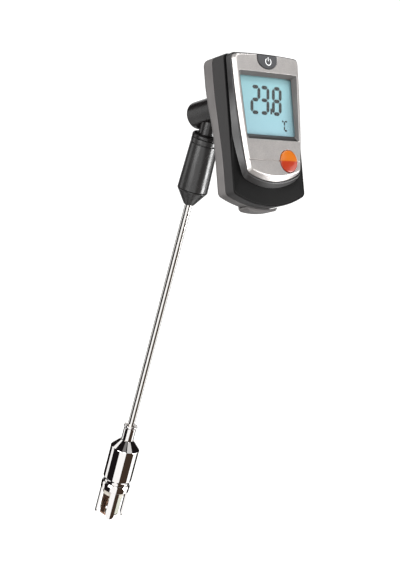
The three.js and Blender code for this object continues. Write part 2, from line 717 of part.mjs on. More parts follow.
function buildElectronics() {
  const board = new THREE.Shape([
    [-19.2, -22], [19.2, -22], [19.2, 11.6], [6.2, 11.6],
    [6.2, 17.1], [-6.2, 17.1], [-6.2, 11.6], [-19.2, 11.6],
  ].map(([x, z]) => new THREE.Vector2(x, z)));
  add(caseFrame, 'circuit_board', slab(board, 12.8, 13.6), looks.board);
  add(caseFrame, 'measuring_chip', block(-13, 0.5, -6, 7.5, 11.3, 12.5), looks.chip);
  const middle = (button.top + button.low) / 2;
  const switchBody = block(-2.2, middle - 1.9, 2.2, middle + 1.9, 13.7, 14.1);
  const dome = facing(turned([[0, 14], [1.6, 14], [1.5, 14.5], [0, 14.7]], 24), 0, middle);
  add(caseFrame, 'power_switch', join(switchBody, dome), looks.steel);
}

// One cell standing along Z with its positive end up.
function cell(low) {
  const nippleHeight = 1;
  const top = low + cellLength;
  const shoulder = top - nippleHeight;
  return turned([
    [0, low], [cellRadius - 0.3, low], [cellRadius, low + 0.3], [cellRadius, shoulder - 0.3],
    [cellRadius - 0.3, shoulder], [1.9, shoulder], [1.9, top], [0, top],
  ], 24);
}

function buildBattery() {
  const bays = [
    { x: -cellPitch, low: -49.9, flipped: false },
    { x: 0, low: -51.9, flipped: true },
    { x: cellPitch, low: -49.9, flipped: false },
  ];
  bays.forEach(({ x, low, flipped }, index) => {
    const number = index + 1;
    const body = cell(low);
    const middle = low + cellLength / 2;
    if (flipped) body.translate(0, 0, -middle).rotateX(Math.PI).translate(0, 0, middle);
    add(caseFrame, `battery_cell_${number}`, body.translate(x, -cellDepth, 0), looks.cellWrap);

    const plateLow = low + cellLength + gap;
    const plate = block(x - 4.4, plateLow, x + 4.4, plateLow + 0.4, 3.4, 10.6);
    add(caseFrame, `contact_plate_${number}`, plate, looks.nickel);

    const tight = 1.3;
    const wide = 2.6;
    const spring = coil((t) => wide + (tight - wide) * t, low - gap - 0.95, low - gap, 2, 0.2, 12);
    add(caseFrame, `contact_spring_${number}`, spring.translate(x, -cellDepth, 0), looks.steel);
  });
}

buildGrip();
buildShaft();
buildHead();
buildSensor();
buildElbow();
buildRearShell();
buildBatteryCover();
buildFrontShell();
buildScrews();
buildFace();
buildButton();
buildDisplay();
buildElectronics();
buildBattery();

export default instrument;
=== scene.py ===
"""Looks of a surface-contact thermometer with a swivel display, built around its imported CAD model.

Everything stands in the frame of the CAD: metres, +Z up the probe, the display facing -Y.
Sizes in the classes are millimetres, and a bench turns them into the frame.
"""

import json
import logging
import math
from collections.abc import Callable, Sequence
from dataclasses import dataclass, field
from enum import Enum

import bmesh
import bpy
from mathutils import Matrix, Vector


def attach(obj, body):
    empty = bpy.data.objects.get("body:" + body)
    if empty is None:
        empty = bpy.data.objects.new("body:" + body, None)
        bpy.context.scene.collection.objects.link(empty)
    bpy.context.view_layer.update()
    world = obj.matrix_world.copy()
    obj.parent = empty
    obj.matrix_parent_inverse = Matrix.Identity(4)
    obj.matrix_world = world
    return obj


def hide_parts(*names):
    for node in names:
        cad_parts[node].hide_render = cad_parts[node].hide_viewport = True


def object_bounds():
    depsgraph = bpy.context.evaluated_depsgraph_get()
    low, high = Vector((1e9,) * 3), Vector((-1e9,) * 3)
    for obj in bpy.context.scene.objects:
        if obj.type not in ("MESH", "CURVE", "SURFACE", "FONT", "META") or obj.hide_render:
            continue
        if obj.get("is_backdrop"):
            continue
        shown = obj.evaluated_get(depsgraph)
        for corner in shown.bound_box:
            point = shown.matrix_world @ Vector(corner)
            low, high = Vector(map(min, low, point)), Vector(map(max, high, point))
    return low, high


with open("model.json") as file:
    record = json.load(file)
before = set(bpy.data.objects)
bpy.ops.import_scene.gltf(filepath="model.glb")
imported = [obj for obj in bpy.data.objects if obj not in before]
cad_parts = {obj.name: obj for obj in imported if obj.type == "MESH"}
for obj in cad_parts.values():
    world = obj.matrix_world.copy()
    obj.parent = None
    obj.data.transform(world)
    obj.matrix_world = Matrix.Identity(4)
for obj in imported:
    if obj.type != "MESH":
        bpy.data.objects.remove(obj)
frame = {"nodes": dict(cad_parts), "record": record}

LOG = logging.getLogger("thermometer")
MM = 0.001
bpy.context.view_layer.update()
Point = tuple[float, float]
Layers = Sequence[tuple[Sequence[Point], float]]
Tree = bpy.types.NodeTree
Socket = bpy.types.NodeSocket
Piece = bpy.types.Object


# ---------------------------------------------------------------- nodes and colours


def linear(code: str, alpha: float = 1.0) -> tuple[float, float, float, float]:
    """Turns an sRGB hex colour into linear values.

    Args:
        code: Six hex digits after a hash sign.
        alpha: The fourth value.

    Returns:
        Red, green, blue and alpha, as a shader wants them.
    """
    values = [int(code[i : i + 2], 16) / 255 for i in (1, 3, 5)]
    red, green, blue = (v / 12.92 if v <= 0.04045 else ((v + 0.055) / 1.055) ** 2.4 for v in values)
    return (red, green, blue, alpha)


def add_node(tree: Tree, kind: str, inputs: dict | None = None, **settings: object) -> bpy.types.Node:
    """Adds one node with its settings, values and links.

    Args:
        tree: The node tree it goes in.
        kind: The node's type name.
        inputs: Socket name or index to a value, or to the output socket that feeds it.
        settings: The node's own properties.

    Returns:
        The new node.
    """
    node = tree.nodes.new(kind)
    for name, value in settings.items():
        setattr(node, name, value)
    for key, value in (inputs or {}).items():
        if isinstance(value, Socket):
            tree.links.new(value, node.inputs[key])
        else:
            node.inputs[key].default_value = value
    return node


def empty_material(name: str) -> tuple[bpy.types.Material, Tree]:
    """Makes a material with an empty node tree.

    Args:
        name: The material's name.

    Returns:
        The material and its node tree.
    """
    material = bpy.data.materials.new(name)
    material.use_nodes = True
    material.node_tree.nodes.clear()
    return material, material.node_tree


def close_material(tree: Tree, inputs: dict) -> None:
    """Ends a node tree with one Principled shader.

    Args:
        tree: The node tree.
        inputs: The shader's sockets, as for add_node.
    """
    shader = add_node(tree, "ShaderNodeBsdfPrincipled", inputs)
    add_node(tree, "ShaderNodeOutputMaterial", {"Surface": shader.outputs["BSDF"]})


def per_metre(size_mm: float) -> float:
    """Gives the texture scale, in cells per metre, of a pattern of that real size."""
    return 1 / (size_mm * MM)


def object_place(tree: Tree, stretch: Sequence[float] = (1, 1, 1)) -> Socket:
    """Gives the piece's own coordinates in metres.

    Args:
        tree: The node tree.
        stretch: A factor for each axis, below 1 where the pattern is drawn out.

    Returns:
        The coordinates' output socket.
    """
    place = add_node(tree, "ShaderNodeTexCoord").outputs["Object"]
    if tuple(stretch) == (1, 1, 1):
        return place
    return add_node(tree, "ShaderNodeMapping", {"Vector": place, "Scale": stretch}).outputs["Vector"]


def cloud(tree: Tree, place: Socket, size_mm: float, detail: float = 3.0) -> Socket:
    """Gives soft noise whose blotches have a real size.

    Args:
        tree: The node tree.
        place: Coordinates in metres.
        size_mm: The size of one blotch.
        detail: How many finer layers it holds.

    Returns:
        The noise's value socket.
    """
    inputs = {"Vector": place, "Scale": per_metre(size_mm), "Detail": detail, "Roughness": 0.55}
    return add_node(tree, "ShaderNodeTexNoise", inputs).outputs["Fac"]


def spread(tree: Tree, value: Socket, low: float, high: float) -> Socket:
    """Maps the middle of a noise's range onto low to high."""
    inputs = {"Value": value, "From Min": 0.3, "From Max": 0.7, "To Min": low, "To Max": high}
    return add_node(tree, "ShaderNodeMapRange", inputs).outputs["Result"]


def blend_colours(tree: Tree, share: Socket, first: tuple, second: tuple) -> Socket:
    """Mixes two linear colours by a socket's value."""
    mix = add_node(tree, "ShaderNodeMix", {0: share, 6: first, 7: second}, data_type="RGBA")
    return mix.outputs[2]


def bump(tree: Tree, height: Socket, depth_mm: float, strength: float = 1.0) -> Socket:
    """Turns a height into a normal.

    Args:
        tree: The node tree.
        height: A value socket, 0 to 1.
        depth_mm: How far 0 lies below 1.
        strength: How much of it shows.

    Returns:
        The normal socket.
    """
    inputs = {"Height": height, "Distance": depth_mm * MM, "Strength": strength}
    return add_node(tree, "ShaderNodeBump", inputs).outputs["Normal"]


# ---------------------------------------------------------------- finishes


@dataclass(frozen=True)
class MouldedPlastic:
    """Injection-moulded ABS or nylon from a spark-textured or polished mould.

    The eye gets an even body colour with a fine grain, slightly cloudy gloss and softly lit edges.
    """

    name: str
    colour: str
    shade: str
    roughness: float = 0.55
    grain_mm: float = 0.45
    grain_depth_mm: float = 0.02
    cloud_mm: float = 14.0
    gloss_drift: float = 0.06
    coat: float = 0.0
    specular: float = 0.3

    def build(self) -> bpy.types.Material:
        """Makes the material."""
        material, tree = empty_material(self.name)
        place = object_place(tree)
        drift = spread(tree, cloud(tree, place, self.cloud_mm), 0, 1)
        # The real grain is about 0.1 mm. It is drawn coarser so that it shows.
        grain = cloud(tree, place, self.grain_mm, 2.0)
        low, high = self.roughness - self.gloss_drift, self.roughness + self.gloss_drift
        close_material(tree, {
            "Base Color": blend_colours(tree, drift, linear(self.colour), linear(self.shade)),
            "Roughness": spread(tree, cloud(tree, place, self.cloud_mm / 3), low, high),
            "Normal": bump(tree, grain, self.grain_depth_mm),
            "IOR": 1.54,
            "Specular IOR Level": self.specular,
            "Coat Weight": self.coat,
            "Coat Roughness": 0.25,
        })
        return material


@dataclass(frozen=True)
class PlasticWithPaintedPanelShade:
    """ABS from a mould that is spark-textured on its walls and polished on its front panel.

    The eye gets a soft, grainy grey on the walls. The front panel is painted near-black, as painted shade
    where it faces away from the light, and shines a little.
    """

    forward: tuple[float, float, float]
    limit: float
    name: str = "abs_textured_walls_with_smooth_black_panel"
    colour: str = "#3d3c3c"
    # painted shade: the near-black colour of the front panel stands in for the shade on it
    panel: str = "#0d0d0d"
    wall_roughness: float = 0.55
    panel_roughness: float = 0.5
    blend_mm: float = 0.2
    grain_mm: float = 0.45
    grain_depth_mm: float = 0.045
    specular: float = 0.14

    def build(self) -> bpy.types.Material:
        """Makes the material."""
        material, tree = empty_material(self.name)
        place = object_place(tree)
        half = self.blend_mm * MM / 2
        depth = add_node(tree, "ShaderNodeVectorMath", {0: place, 1: self.forward}, operation="DOT_PRODUCT")
        low, high = self.limit - half, self.limit + half
        inputs = {"Value": depth.outputs["Value"], "From Min": low, "From Max": high}
        share = add_node(tree, "ShaderNodeMapRange", inputs).outputs["Result"]
        inputs = {"Value": share, "To Min": self.wall_roughness, "To Max": self.panel_roughness}
        roughness = add_node(tree, "ShaderNodeMapRange", inputs).outputs["Result"]
        drift = spread(tree, cloud(tree, place, 5.0), -0.03, 0.03)
        sum_of = add_node(tree, "ShaderNodeMath", {0: roughness, 1: drift}, operation="ADD").outputs["Value"]
        close_material(tree, {
            # in front of the limit depth the colour turns to the near-black panel colour, painted shade
            "Base Color": blend_colours(tree, share, linear(self.colour), linear(self.panel)),
            "Roughness": sum_of,
            "Normal": bump(tree, cloud(tree, place, self.grain_mm, 2.0), self.grain_depth_mm, 0.8),
            "IOR": 1.54,
            "Specular IOR Level": self.specular,
        })
        return material


@dataclass(frozen=True)
class SilverPaint:
    """Silver lacquer with fine aluminium flakes, sprayed on moulded ABS.

    The eye gets a warm satin grey that brightens towards the light, with a fine sparkle and faint mottling.
    """

    name: str = "silver_flake_lacquer_on_abs"
    colour: str = "#d2cecb"
    shade: str = "#c6c2c0"
    flake_mm: float = 0.35
    cloud_mm: float = 6.0

    def build(self) -> bpy.types.Material:
        """Makes the material."""
        material, tree = empty_material(self.name)
        place = object_place(tree)
        # The flakes are about 0.03 mm. They are drawn coarser so that they show.
        flakes = add_node(tree, "ShaderNodeTexVoronoi", {"Vector": place, "Scale": per_metre(self.flake_mm)})
        drift = spread(tree, cloud(tree, place, self.cloud_mm), 0, 1)
        body = blend_colours(tree, drift, linear(self.colour), linear(self.shade))
        sparkle = add_node(tree, "ShaderNodeSeparateColor", {"Color": flakes.outputs["Color"]}).outputs["Red"]
        lift = add_node(tree, "ShaderNodeMapRange", {"Value": sparkle, "To Min": 0.93, "To Max": 1.05})
        factors = {0: body, 1: lift.outputs["Result"]}
        tone = add_node(tree, "ShaderNodeVectorMath", factors, operation="MULTIPLY")
        close_material(tree, {
            "Base Color": tone.outputs["Vector"],
            "Metallic": 0.7,
            "Roughness": 0.36,
            "Normal": bump(tree, sparkle, 0.006, 0.5),
            "Coat Weight": 0.15,
            "Coat Roughness": 0.3,
        })
        return material


@dataclass(frozen=True)
class PolishedMetal:
    """Metal that was drawn, turned or plated, then polished.

    The eye gets clear reflections, pulled slightly along the way that the tool ran, with faint smudges.
    """

    name: str
    colour: str
    roughness: float
    line_mm: float = 0.12
    stretch: tuple[float, float, float] = (1, 1, 1)
    line_depth_mm: float = 0.001
    smudge: float = 0.02
    cloud_mm: float = 5.0

    def build(self) -> bpy.types.Material:
        """Makes the material."""
        material, tree = empty_material(self.name)
        lines = cloud(tree, object_place(tree, self.stretch), self.line_mm, 2.0)
        smudges = cloud(tree, object_place(tree), self.cloud_mm)
        close_material(tree, {
            "Base Color": linear(self.colour),
            "Metallic": 1.0,
            "Roughness": spread(tree, smudges, self.roughness, self.roughness + self.smudge),
            "Normal": bump(tree, lines, self.line_depth_mm, 0.5),
        })
        return material


@dataclass(frozen=True)
class DomedLacquerWithPaintedShade:
    """Clear lacquer poured over an orange disc, with light and shade painted into its colour.

    The eye gets a deep glossy orange with a sharp highlight; the colour is painted lighter above and redder
    below, as painted shading of the dome.
    """

    up: tuple[float, float, float]
    middle: float
    name: str = "poured_lacquer_with_painted_shade"
    # painted highlight: the lighter orange of the dome's upper half
    light: str = "#bd640f"
    # painted shade: the redder orange of the dome's lower half
    dark: str = "#a02c0b"
    # the width of the blend between the painted light and the painted shade
    shade_edge_mm: float = 0.5

    def build(self) -> bpy.types.Material:
        """Makes the material."""
        material, tree = empty_material(self.name)
        place = object_place(tree)
        # Paints the dome lighter above its middle height and redder below it, as painted shading.
        rise = add_node(tree, "ShaderNodeVectorMath", {0: place, 1: self.up}, operation="DOT_PRODUCT")
        height = rise.outputs["Value"]
        half = self.shade_edge_mm * MM / 2
        inputs = {"Value": height, "From Min": self.middle - half, "From Max": self.middle + half}
        share = add_node(tree, "ShaderNodeMapRange", inputs).outputs["Result"]
        close_material(tree, {
            "Base Color": blend_colours(tree, share, linear(self.dark), linear(self.light)),
            "Roughness": 0.3,
            "IOR": 1.5,
            "Normal": bump(tree, cloud(tree, place, 1.2), 0.01, 0.3),
            "Coat Weight": 0.6,
            "Coat Roughness": 0.06,
        })
        return material


@dataclass(frozen=True)
class DisplayGlass:
    """Reflective liquid crystal cell: polariser film over glass.

    The eye gets a pale blue-green field that deepens slightly to one side, with a soft sheen from the film.
    """

    up: tuple[float, float, float]
    low: float
    high: float
    name: str = "liquid_crystal_glass_with_polariser"
    top: str = "#7aa7ad"
    foot: str = "#82a9b4"

    def build(self) -> bpy.types.Material:
        """Makes the material."""
        material, tree = empty_material(self.name)
        place = object_place(tree)
        rise = add_node(tree, "ShaderNodeVectorMath", {0: place, 1: self.up}, operation="DOT_PRODUCT")
        height = rise.outputs["Value"]
        inputs = {"Value": height, "From Min": self.low, "From Max": self.high}
        share = add_node(tree, "ShaderNodeMapRange", inputs)
        close_material(tree, {
            "Base Color": blend_colours(tree, share.outputs["Result"], linear(self.foot), linear(self.top)),
            "Roughness": spread(tree, cloud(tree, place, 4.0), 0.3, 0.38),
            "IOR": 1.5,
            "Normal": bump(tree, cloud(tree, place, 0.3, 1.0), 0.004, 0.4),
            "Coat Weight": 0.3,
            "Coat Roughness": 0.1,
        })
        return material


@dataclass(frozen=True)
class ClearWindow:
    """Clear polycarbonate, moulded and hard-coated: all but unseen, with a soft reflection."""

    name: str = "hard_coated_polycarbonate"

    def build(self) -> bpy.types.Material:
        """Makes the material."""
        material, tree = empty_material(self.name)
        place = object_place(tree)
        close_material(tree, {
            "Base Color": linear("#f4fbfb"),
            "Roughness": spread(tree, cloud(tree, place, 8.0), 0.03, 0.06),
            "IOR": 1.58,
            "Alpha": 0.03,
        })
        return material


@dataclass(frozen=True)
class LayeredStock:
    """Sheet, rubber, ceramic or printed sleeve: a matt body with grain of its own size."""

    name: str
    colour: str
    shade: str
    roughness: float
    grain_mm: float
    stretch: tuple[float, float, float] = (1, 1, 1)
    depth_mm: float = 0.02
    ior: float = 1.5
    coat: float = 0.0

    def build(self) -> bpy.types.Material:
        """Makes the material."""
        material, tree = empty_material(self.name)
        grain = cloud(tree, object_place(tree, self.stretch), self.grain_mm)
        share = spread(tree, grain, 0, 1)
        close_material(tree, {
            "Base Color": blend_colours(tree, share, linear(self.colour), linear(self.shade)),
            "Roughness": spread(tree, grain, self.roughness - 0.05, self.roughness + 0.05),
            "IOR": self.ior,
            "Normal": bump(tree, grain, self.depth_mm, 0.6),
            "Coat Weight": self.coat,
            "Coat Roughness": 0.15,
        })
        return material


ALONG_PROBE = (1, 1, 0.02)  # streaks that run up the probe
ROUND_PROBE = (0.05, 0.05, 1)  # turning marks that run round the probe


class Finish(Enum):
    """The finishes that need nothing from the frame."""

    REAR_CASE = MouldedPlastic("abs_spark_textured_mid_grey", "#757271", "#696665", grain_depth_mm=0.045)
    HOUSING = MouldedPlastic(
        "abs_spark_textured_charcoal", "#323131", "#2b2a2a", roughness=0.38, specular=0.6)
    WALL = MouldedPlastic("abs_polished_mid_grey", "#5f5d5c", "#575554", roughness=0.4)
    SWIVEL = MouldedPlastic(
        "nylon_moulded_satin_black", "#1e1c1c", "#181616", roughness=0.26, grain_depth_mm=0.006,
        gloss_drift=0.04, specular=0.5)
    GRIP = MouldedPlastic(
        "nylon_moulded_satin_dark_grey", "#302f2f", "#2a2929", roughness=0.26, grain_depth_mm=0.008,
        gloss_drift=0.05, specular=0.5)
    KEY = MouldedPlastic("silicone_rubber_moulded_dark_grey", "#434345", "#3b3b3d", roughness=0.6)
    SILVER = SilverPaint()
    STEEL_TUBE = PolishedMetal(
        "stainless_tube_drawn_polished", "#e6e4e1", 0.13, 0.1, ALONG_PROBE, 0.002, 0.05)
    CHROME = PolishedMetal(
        "chromium_plate_on_turned_brass", "#e4e1df", 0.035, 0.15, ROUND_PROBE, 0.0004, 0.03)
    FASTENER = PolishedMetal("zinc_plated_steel_rolled", "#b9bab8", 0.28, 0.2, (1, 1, 1), 0.004, 0.1)
    SPRING = PolishedMetal("spring_steel_wire_drawn", "#a9a9aa", 0.22, 0.1, (1, 1, 1), 0.002, 0.08)
    BRASS = PolishedMetal("brass_turned", "#d6b56a", 0.2, 0.12, ROUND_PROBE, 0.002, 0.06)
    BRONZE = PolishedMetal("chromel_strip_rolled", "#c99c80", 0.22, 0.15, ALONG_PROBE, 0.002, 0.1)
    NICKEL = PolishedMetal("nickel_alloy_strip_rolled", "#bcbdb0", 0.2, 0.15, ALONG_PROBE, 0.002, 0.1)
    WINDOW = ClearWindow()
    CERAMIC = LayeredStock("steatite_ceramic_fired", "#e6e0d4", "#d8d0c2", 0.55, 0.6)
    PRINT = LayeredStock("screen_printed_white_ink", "#e9eaea", "#dfe0e0", 0.5, 0.3, depth_mm=0.005)
    SEGMENT = LayeredStock(
        "liquid_crystal_segment_dark", "#020607", "#040a0b", 0.6, 0.6, depth_mm=0.002, ior=1.2)
    BOARD = LayeredStock(
        "glass_epoxy_with_green_mask", "#2b6040", "#224e34", 0.4, 1.2, depth_mm=0.01, coat=0.4)
    CHIP = LayeredStock("moulded_epoxy_black", "#1c1c1e", "#232325", 0.5, 0.3)
    STRIP = LayeredStock("layered_conductive_rubber", "#1d1d1f", "#4a4a4c", 0.7, 0.3, stretch=(1, 0.02, 0.02))
    REFLECTOR = LayeredStock("white_diffusing_sheet", "#f1f1ec", "#e8e8e2", 0.6, 2.0, depth_mm=0.004)
    SLEEVE = LayeredStock(
        "shrink_sleeve_printed_blue", "#24507f", "#1f4670", 0.3, 3.0, depth_mm=0.01, coat=0.5)

    def material(self) -> bpy.types.Material:
        """Gives the finish's material, made at its first use."""
        return bpy.data.materials.get(self.value.name) or self.value.build()


# ---------------------------------------------------------------- shapes


@dataclass
class Skin:
    """A surface: points in millimetres and the faces between them."""

    points: list[Vector]
    faces: list[tuple[int, ...]]


def filleted(corners: Sequence[Sequence[float]], steps: int = 5) -> list[Point]:
    """Rounds the corners of a closed line.

    Args:
        corners: Points as (x, y), or as (x, y, cut) where the corner is rounded from cut before it
            to cut after it.
        steps: Pieces in each round.

    Returns:
        The line's points.
    """
    line: list[Point] = []
    for index, corner in enumerate(corners):
        here = Vector(corner[:2])
        if len(corner) < 3:
            line.append(tuple(here))
            continue
        before = Vector(corners[index - 1][:2])
        after = Vector(corners[(index + 1) % len(corners)][:2])
        start = here + (before - here).normalized() * corner[2]
        end = here + (after - here).normalized() * corner[2]
        for step in range(steps + 1):
            t = step / steps
            line.append(tuple(start.lerp(here, t).lerp(here.lerp(end, t), t)))
    return line


def turned(profile: Sequence[Point], segments: int = 96) -> Skin:
    """Turns a closed profile of (radius, height) points about Z."""
    count = len(profile)
    points, faces = [], []
    for turn in range(segments):
        angle = 2 * math.pi * turn / segments
        points += [Vector((r * math.cos(angle), r * math.sin(angle), z)) for r, z in profile]
        here, there = turn * count, (turn + 1) % segments * count
        for i in range(count):
            j = (i + 1) % count
            if profile[i][0] > 0 or profile[j][0] > 0:
                faces.append((here + i, there + i, there + j, here + j))
    return Skin(points, faces)


def rungs(count: int) -> list[tuple[int, ...]]:
    """Covers a symmetric ring of points with strips between the points that face each other."""
    return [tuple(dict.fromkeys((i, i + 1, count - i - 1, (count - i) % count))) for i in range(count // 2)]


def lofted(rings: Sequence[Sequence[Vector]], symmetric: bool = False) -> Skin:
    """Skins over rings of the same number of points and closes both ends.

    Args:
        rings: The rings, in order.
        symmetric: True if the ends are curved and are closed by strips across them.

    Returns:
        The surface.
    """
    count = len(rings[0])
    points = [point for ring in rings for point in ring]
    faces = []
    for layer in range(len(rings) - 1):
        for i in range(count):
            j = (i + 1) % count
            a, b = layer * count, (layer + 1) * count
            faces.append((a + i, a + j, b + j, b + i))
    last = len(points) - count
    ends = rungs(count) if symmetric else [tuple(range(count))]
    faces += [tuple(reversed(face)) for face in ends]
    faces += [tuple(last + i for i in face) for face in ends]
    return Skin(points, faces)


def swept(path: Sequence[Vector], radius: float, sides: int = 10) -> Skin:
    """Sweeps a round wire along a path."""
    rings = []
    for index, point in enumerate(path):
        ahead = path[min(index + 1, len(path) - 1)] - path[max(index - 1, 0)]
        across = ahead.cross(Vector((0, 0, 1))).normalized()
        up = across.cross(ahead).normalized()
        angles = [2 * math.pi * side / sides for side in range(sides)]
        rings.append([point + (across * math.cos(a) + up * math.sin(a)) * radius for a in angles])
    return lofted(rings)


def helix(radius_at: Callable[[float], float], low: float, high: float, turns: float,
          steps: int = 24) -> list[Vector]:
    """Gives the points of a helix about Z.

    Args:
        radius_at: The radius, for a share of the way from 0 to 1.
        low: Its first height.
        high: Its last height.
        turns: How many times it goes round.
        steps: Points in one turn.

    Returns:
        The points, in order.
    """
    count = int(turns * steps)
    path = []
    for index in range(count + 1):
        t = index / count
        angle = 2 * math.pi * turns * t
        radius = radius_at(t)
        path.append(Vector((radius * math.cos(angle), radius * math.sin(angle), low + (high - low) * t)))
    return path


def box_outline(left: float, low: float, right: float, high: float, cut: float = 0.0) -> list[Point]:
    """Gives a rectangle, with its corners rounded where cut is above 0."""
    corners = [(left, low), (right, low), (right, high), (left, high)]
    return filleted([(x, y, cut) for x, y in corners]) if cut else corners


class Cut(Enum):
    """The ways of combining two pieces."""

    AWAY = "DIFFERENCE"
    JOIN = "UNION"
    COMMON = "INTERSECT"


def settled(piece: Piece) -> Piece:
    """Bakes a piece's modifiers into its mesh."""
    ready = piece.evaluated_get(bpy.context.evaluated_depsgraph_get())
    mesh = bpy.data.meshes.new_from_object(ready)
    piece.modifiers.clear()
    old, piece.data = piece.data, mesh
    bpy.data.meshes.remove(old)
    mesh.name = piece.name
    return piece


def combined(base: Piece, how: Cut, *tools: Piece) -> Piece:
    """Cuts or joins pieces into the first one.

    Args:
        base: The piece that stays.
        how: The way of combining.
        tools: The pieces that are used up.

    Returns:
        The base, with its new mesh.
    """
    for tool in tools:
        modifier = base.modifiers.new(how.name, "BOOLEAN")
        modifier.object = tool
        modifier.operation = how.value
        modifier.solver = "MANIFOLD"
    settled(base)
    for tool in tools:
        bpy.data.objects.remove(tool)
    return base


@dataclass
class Bench:
    """A place where pieces are made, with its own axes, and the body that they ride on."""

    place: Matrix
    body: str

    def make(self, name: str, skin: Skin) -> Piece:
        """Makes a closed mesh object from a skin.

        Args:
            name: The piece's name.
            skin: Its surface, on this bench's axes.

        Returns:
            The object, in the scene.
        """
        mesh = bpy.data.meshes.new(name)
        mesh.from_pydata([self.place @ point for point in skin.points], [], skin.faces)
        shape = bmesh.new()
        shape.from_mesh(mesh)
        bmesh.ops.remove_doubles(shape, verts=shape.verts, dist=1e-7)
        bmesh.ops.recalc_face_normals(shape, faces=shape.faces)
        shape.to_mesh(mesh)
        shape.free()
        piece = bpy.data.objects.new(name, mesh)
        bpy.context.scene.collection.objects.link(piece)
        return piece

    def done(self, piece: Piece, finish: "Finish | bpy.types.Material", slot: str, *nodes: str,
             sharp_deg: float = 32) -> Piece:
        """Dresses a piece and hands it to the frame.

        Args:
            piece: The piece, in its final shape.
            finish: Its finish or material.
            slot: The record's material slot; not used.
            nodes: The CAD nodes that it stands for.
            sharp_deg: Edges that bend more than this stay sharp.

        Returns:
            The piece.
        """
        shape = bmesh.new()
        shape.from_mesh(piece.data)
        bmesh.ops.dissolve_degenerate(shape, dist=2e-6, edges=shape.edges)
        for face in shape.faces:
            face.smooth = True
        for edge in shape.edges:
            edge.smooth = len(edge.link_faces) == 2 and edge.calc_face_angle(0) < math.radians(sharp_deg)
        shape.to_mesh(piece.data)
        shape.free()
        piece.data.materials.clear()
        piece.data.materials.append(finish.material() if isinstance(finish, Finish) else finish)
        modifier = piece.modifiers.new("even shading", "WEIGHTED_NORMAL")
        modifier.keep_sharp = True
        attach(piece, self.body)
        if nodes:
            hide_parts(*nodes)
        LOG.info("%s on %s: %d faces", piece.name, self.body, len(piece.data.polygons))
        return piece


def dress(node: str, finish: Finish) -> None:
    """Gives a CAD node, whose shape stays, a finish."""
    thing = frame["nodes"][node]
    if not thing.material_slots:
        thing.data.materials.append(None)
    for holder in thing.material_slots:
        holder.link = "OBJECT"
        holder.material = finish.material()
    LOG.info("%s keeps its shape", node)


# ---------------------------------------------------------------- places, from the frame


def joint(name: str) -> dict:
    """Gives a joint of the record by its name."""
    return next(j for j in frame["record"]["behaviour"]["joints"] if j["name"] == name)


@dataclass
class Places:
    """The benches of the object, worked out from its joints."""

    stand_off: float = 24.5  # swivel centre to the back of the case
    centre: Vector = field(init=False)
    tilt: float = field(init=False)

    def __post_init__(self) -> None:
        """Reads the swivel's centre and the display's tilt from the joint."""
        swivel = joint("display_swivel")
        self.centre = Vector(swivel["pos_m"])
        axis = Vector(swivel["axis"])
        self.tilt = math.atan2(-axis.z, axis.y)

    def probe(self, body: str) -> Bench:
        """Gives a bench on the probe's axes, with its origin at the swivel centre."""
        return Bench(Matrix.Translation(self.centre) @ Matrix.Scale(MM, 4), body)

    def case(self, body: str) -> Bench:
        """Gives a bench on the case's axes: X right, Z up the case, and -Y forward from its back face."""
        lean = Matrix.Rotation(-self.tilt, 4, "X")
        back = Matrix.Translation((0, -self.stand_off, 0))
        return Bench(Matrix.Translation(self.centre) @ Matrix.Scale(MM, 4) @ lean @ back, body)


FORWARD = Matrix.Rotation(math.pi / 2, 4, "X")  # lays Z over so that it becomes the depth of the case


def facing(skin: Skin, x: float = 0.0, z: float = 0.0) -> Skin:
    """Turns a piece made along Z so that its Z is the case's depth, and moves it across the case."""
    shift = Matrix.Translation((x, 0, z)) @ FORWARD
    return Skin([shift @ point for point in skin.points], skin.faces)


def layered(layers: Layers) -> Skin:
    """Skins over outlines of the case, each at its own depth."""
    return lofted([[Vector((x, -depth, z)) for x, z in outline] for outline, depth in layers])


@dataclass(frozen=True)
class Bow:
    """The case's curve in side view: its back bulges behind the swivel, and the joint line follows it."""

    bulge: float = 3.5
    joint_rise: float = 0.9
    joint_drop: float = 2.7

    @staticmethod
    def ease(value: float, low: float, high: float) -> float:
        """Rises smoothly from 0 at low to 1 at high."""
        t = min(max((value - low) / (high - low), 0.0), 1.0)
        return t * t * (3 - 2 * t)

    def depth(self, depth: float, z: float) -> float:
        """Gives the depth in the case as it is, for a nominal depth."""
        back = -self.bulge * self.ease(z, -24, 8)
        joint_shift = self.joint_rise - self.joint_drop * self.ease(z, -37, 8)
        back_share = min(max((depth - 3) / 3, 0.0), 1.0)
        front_share = min(max((depth - 6.5) / 5.5, 0.0), 1.0)
        return depth + (back + (joint_shift - back) * back_share) * (1 - front_share)

    def layered(self, layers: Layers) -> Skin:
        """Skins over outlines of the case at nominal depths."""
        rings = [[Vector((x, -self.depth(depth, z), z)) for x, z in outline] for outline, depth in layers]
        return lofted(rings, symmetric=True)


BOW = Bow()


def block(left: float, low: float, right: float, high: float, near: float, far: float) -> Skin:
    """Makes a block on the case's axes, from one depth to another."""
    return layered([(box_outline(left, low, right, high), near), (box_outline(left, low, right, high), far)])


def between(first: Sequence[Point], second: Sequence[Point], share: float) -> list[Point]:
    """Gives the outline that lies a share of the way from one outline to another."""
    return [(a[0] + (b[0] - a[0]) * share, a[1] + (b[1] - a[1]) * share) for a, b in zip(first, second)]


def mirrored(right: Sequence[Point]) -> list[Point]:
    """Closes a symmetric outline from its right half, which starts and ends at X = 0."""
    return [*right, *[(-x, z) for x, z in reversed(right[1:-1])]]


def bend(start: Point, corner: Point, end: Point, steps: int) -> list[Point]:
    """Gives the inner points of a quadratic curve."""
    a, b, c = Vector(start), Vector(corner), Vector(end)
    return [tuple(a.lerp(b, t / steps).lerp(b.lerp(c, t / steps), t / steps)) for t in range(1, steps)]


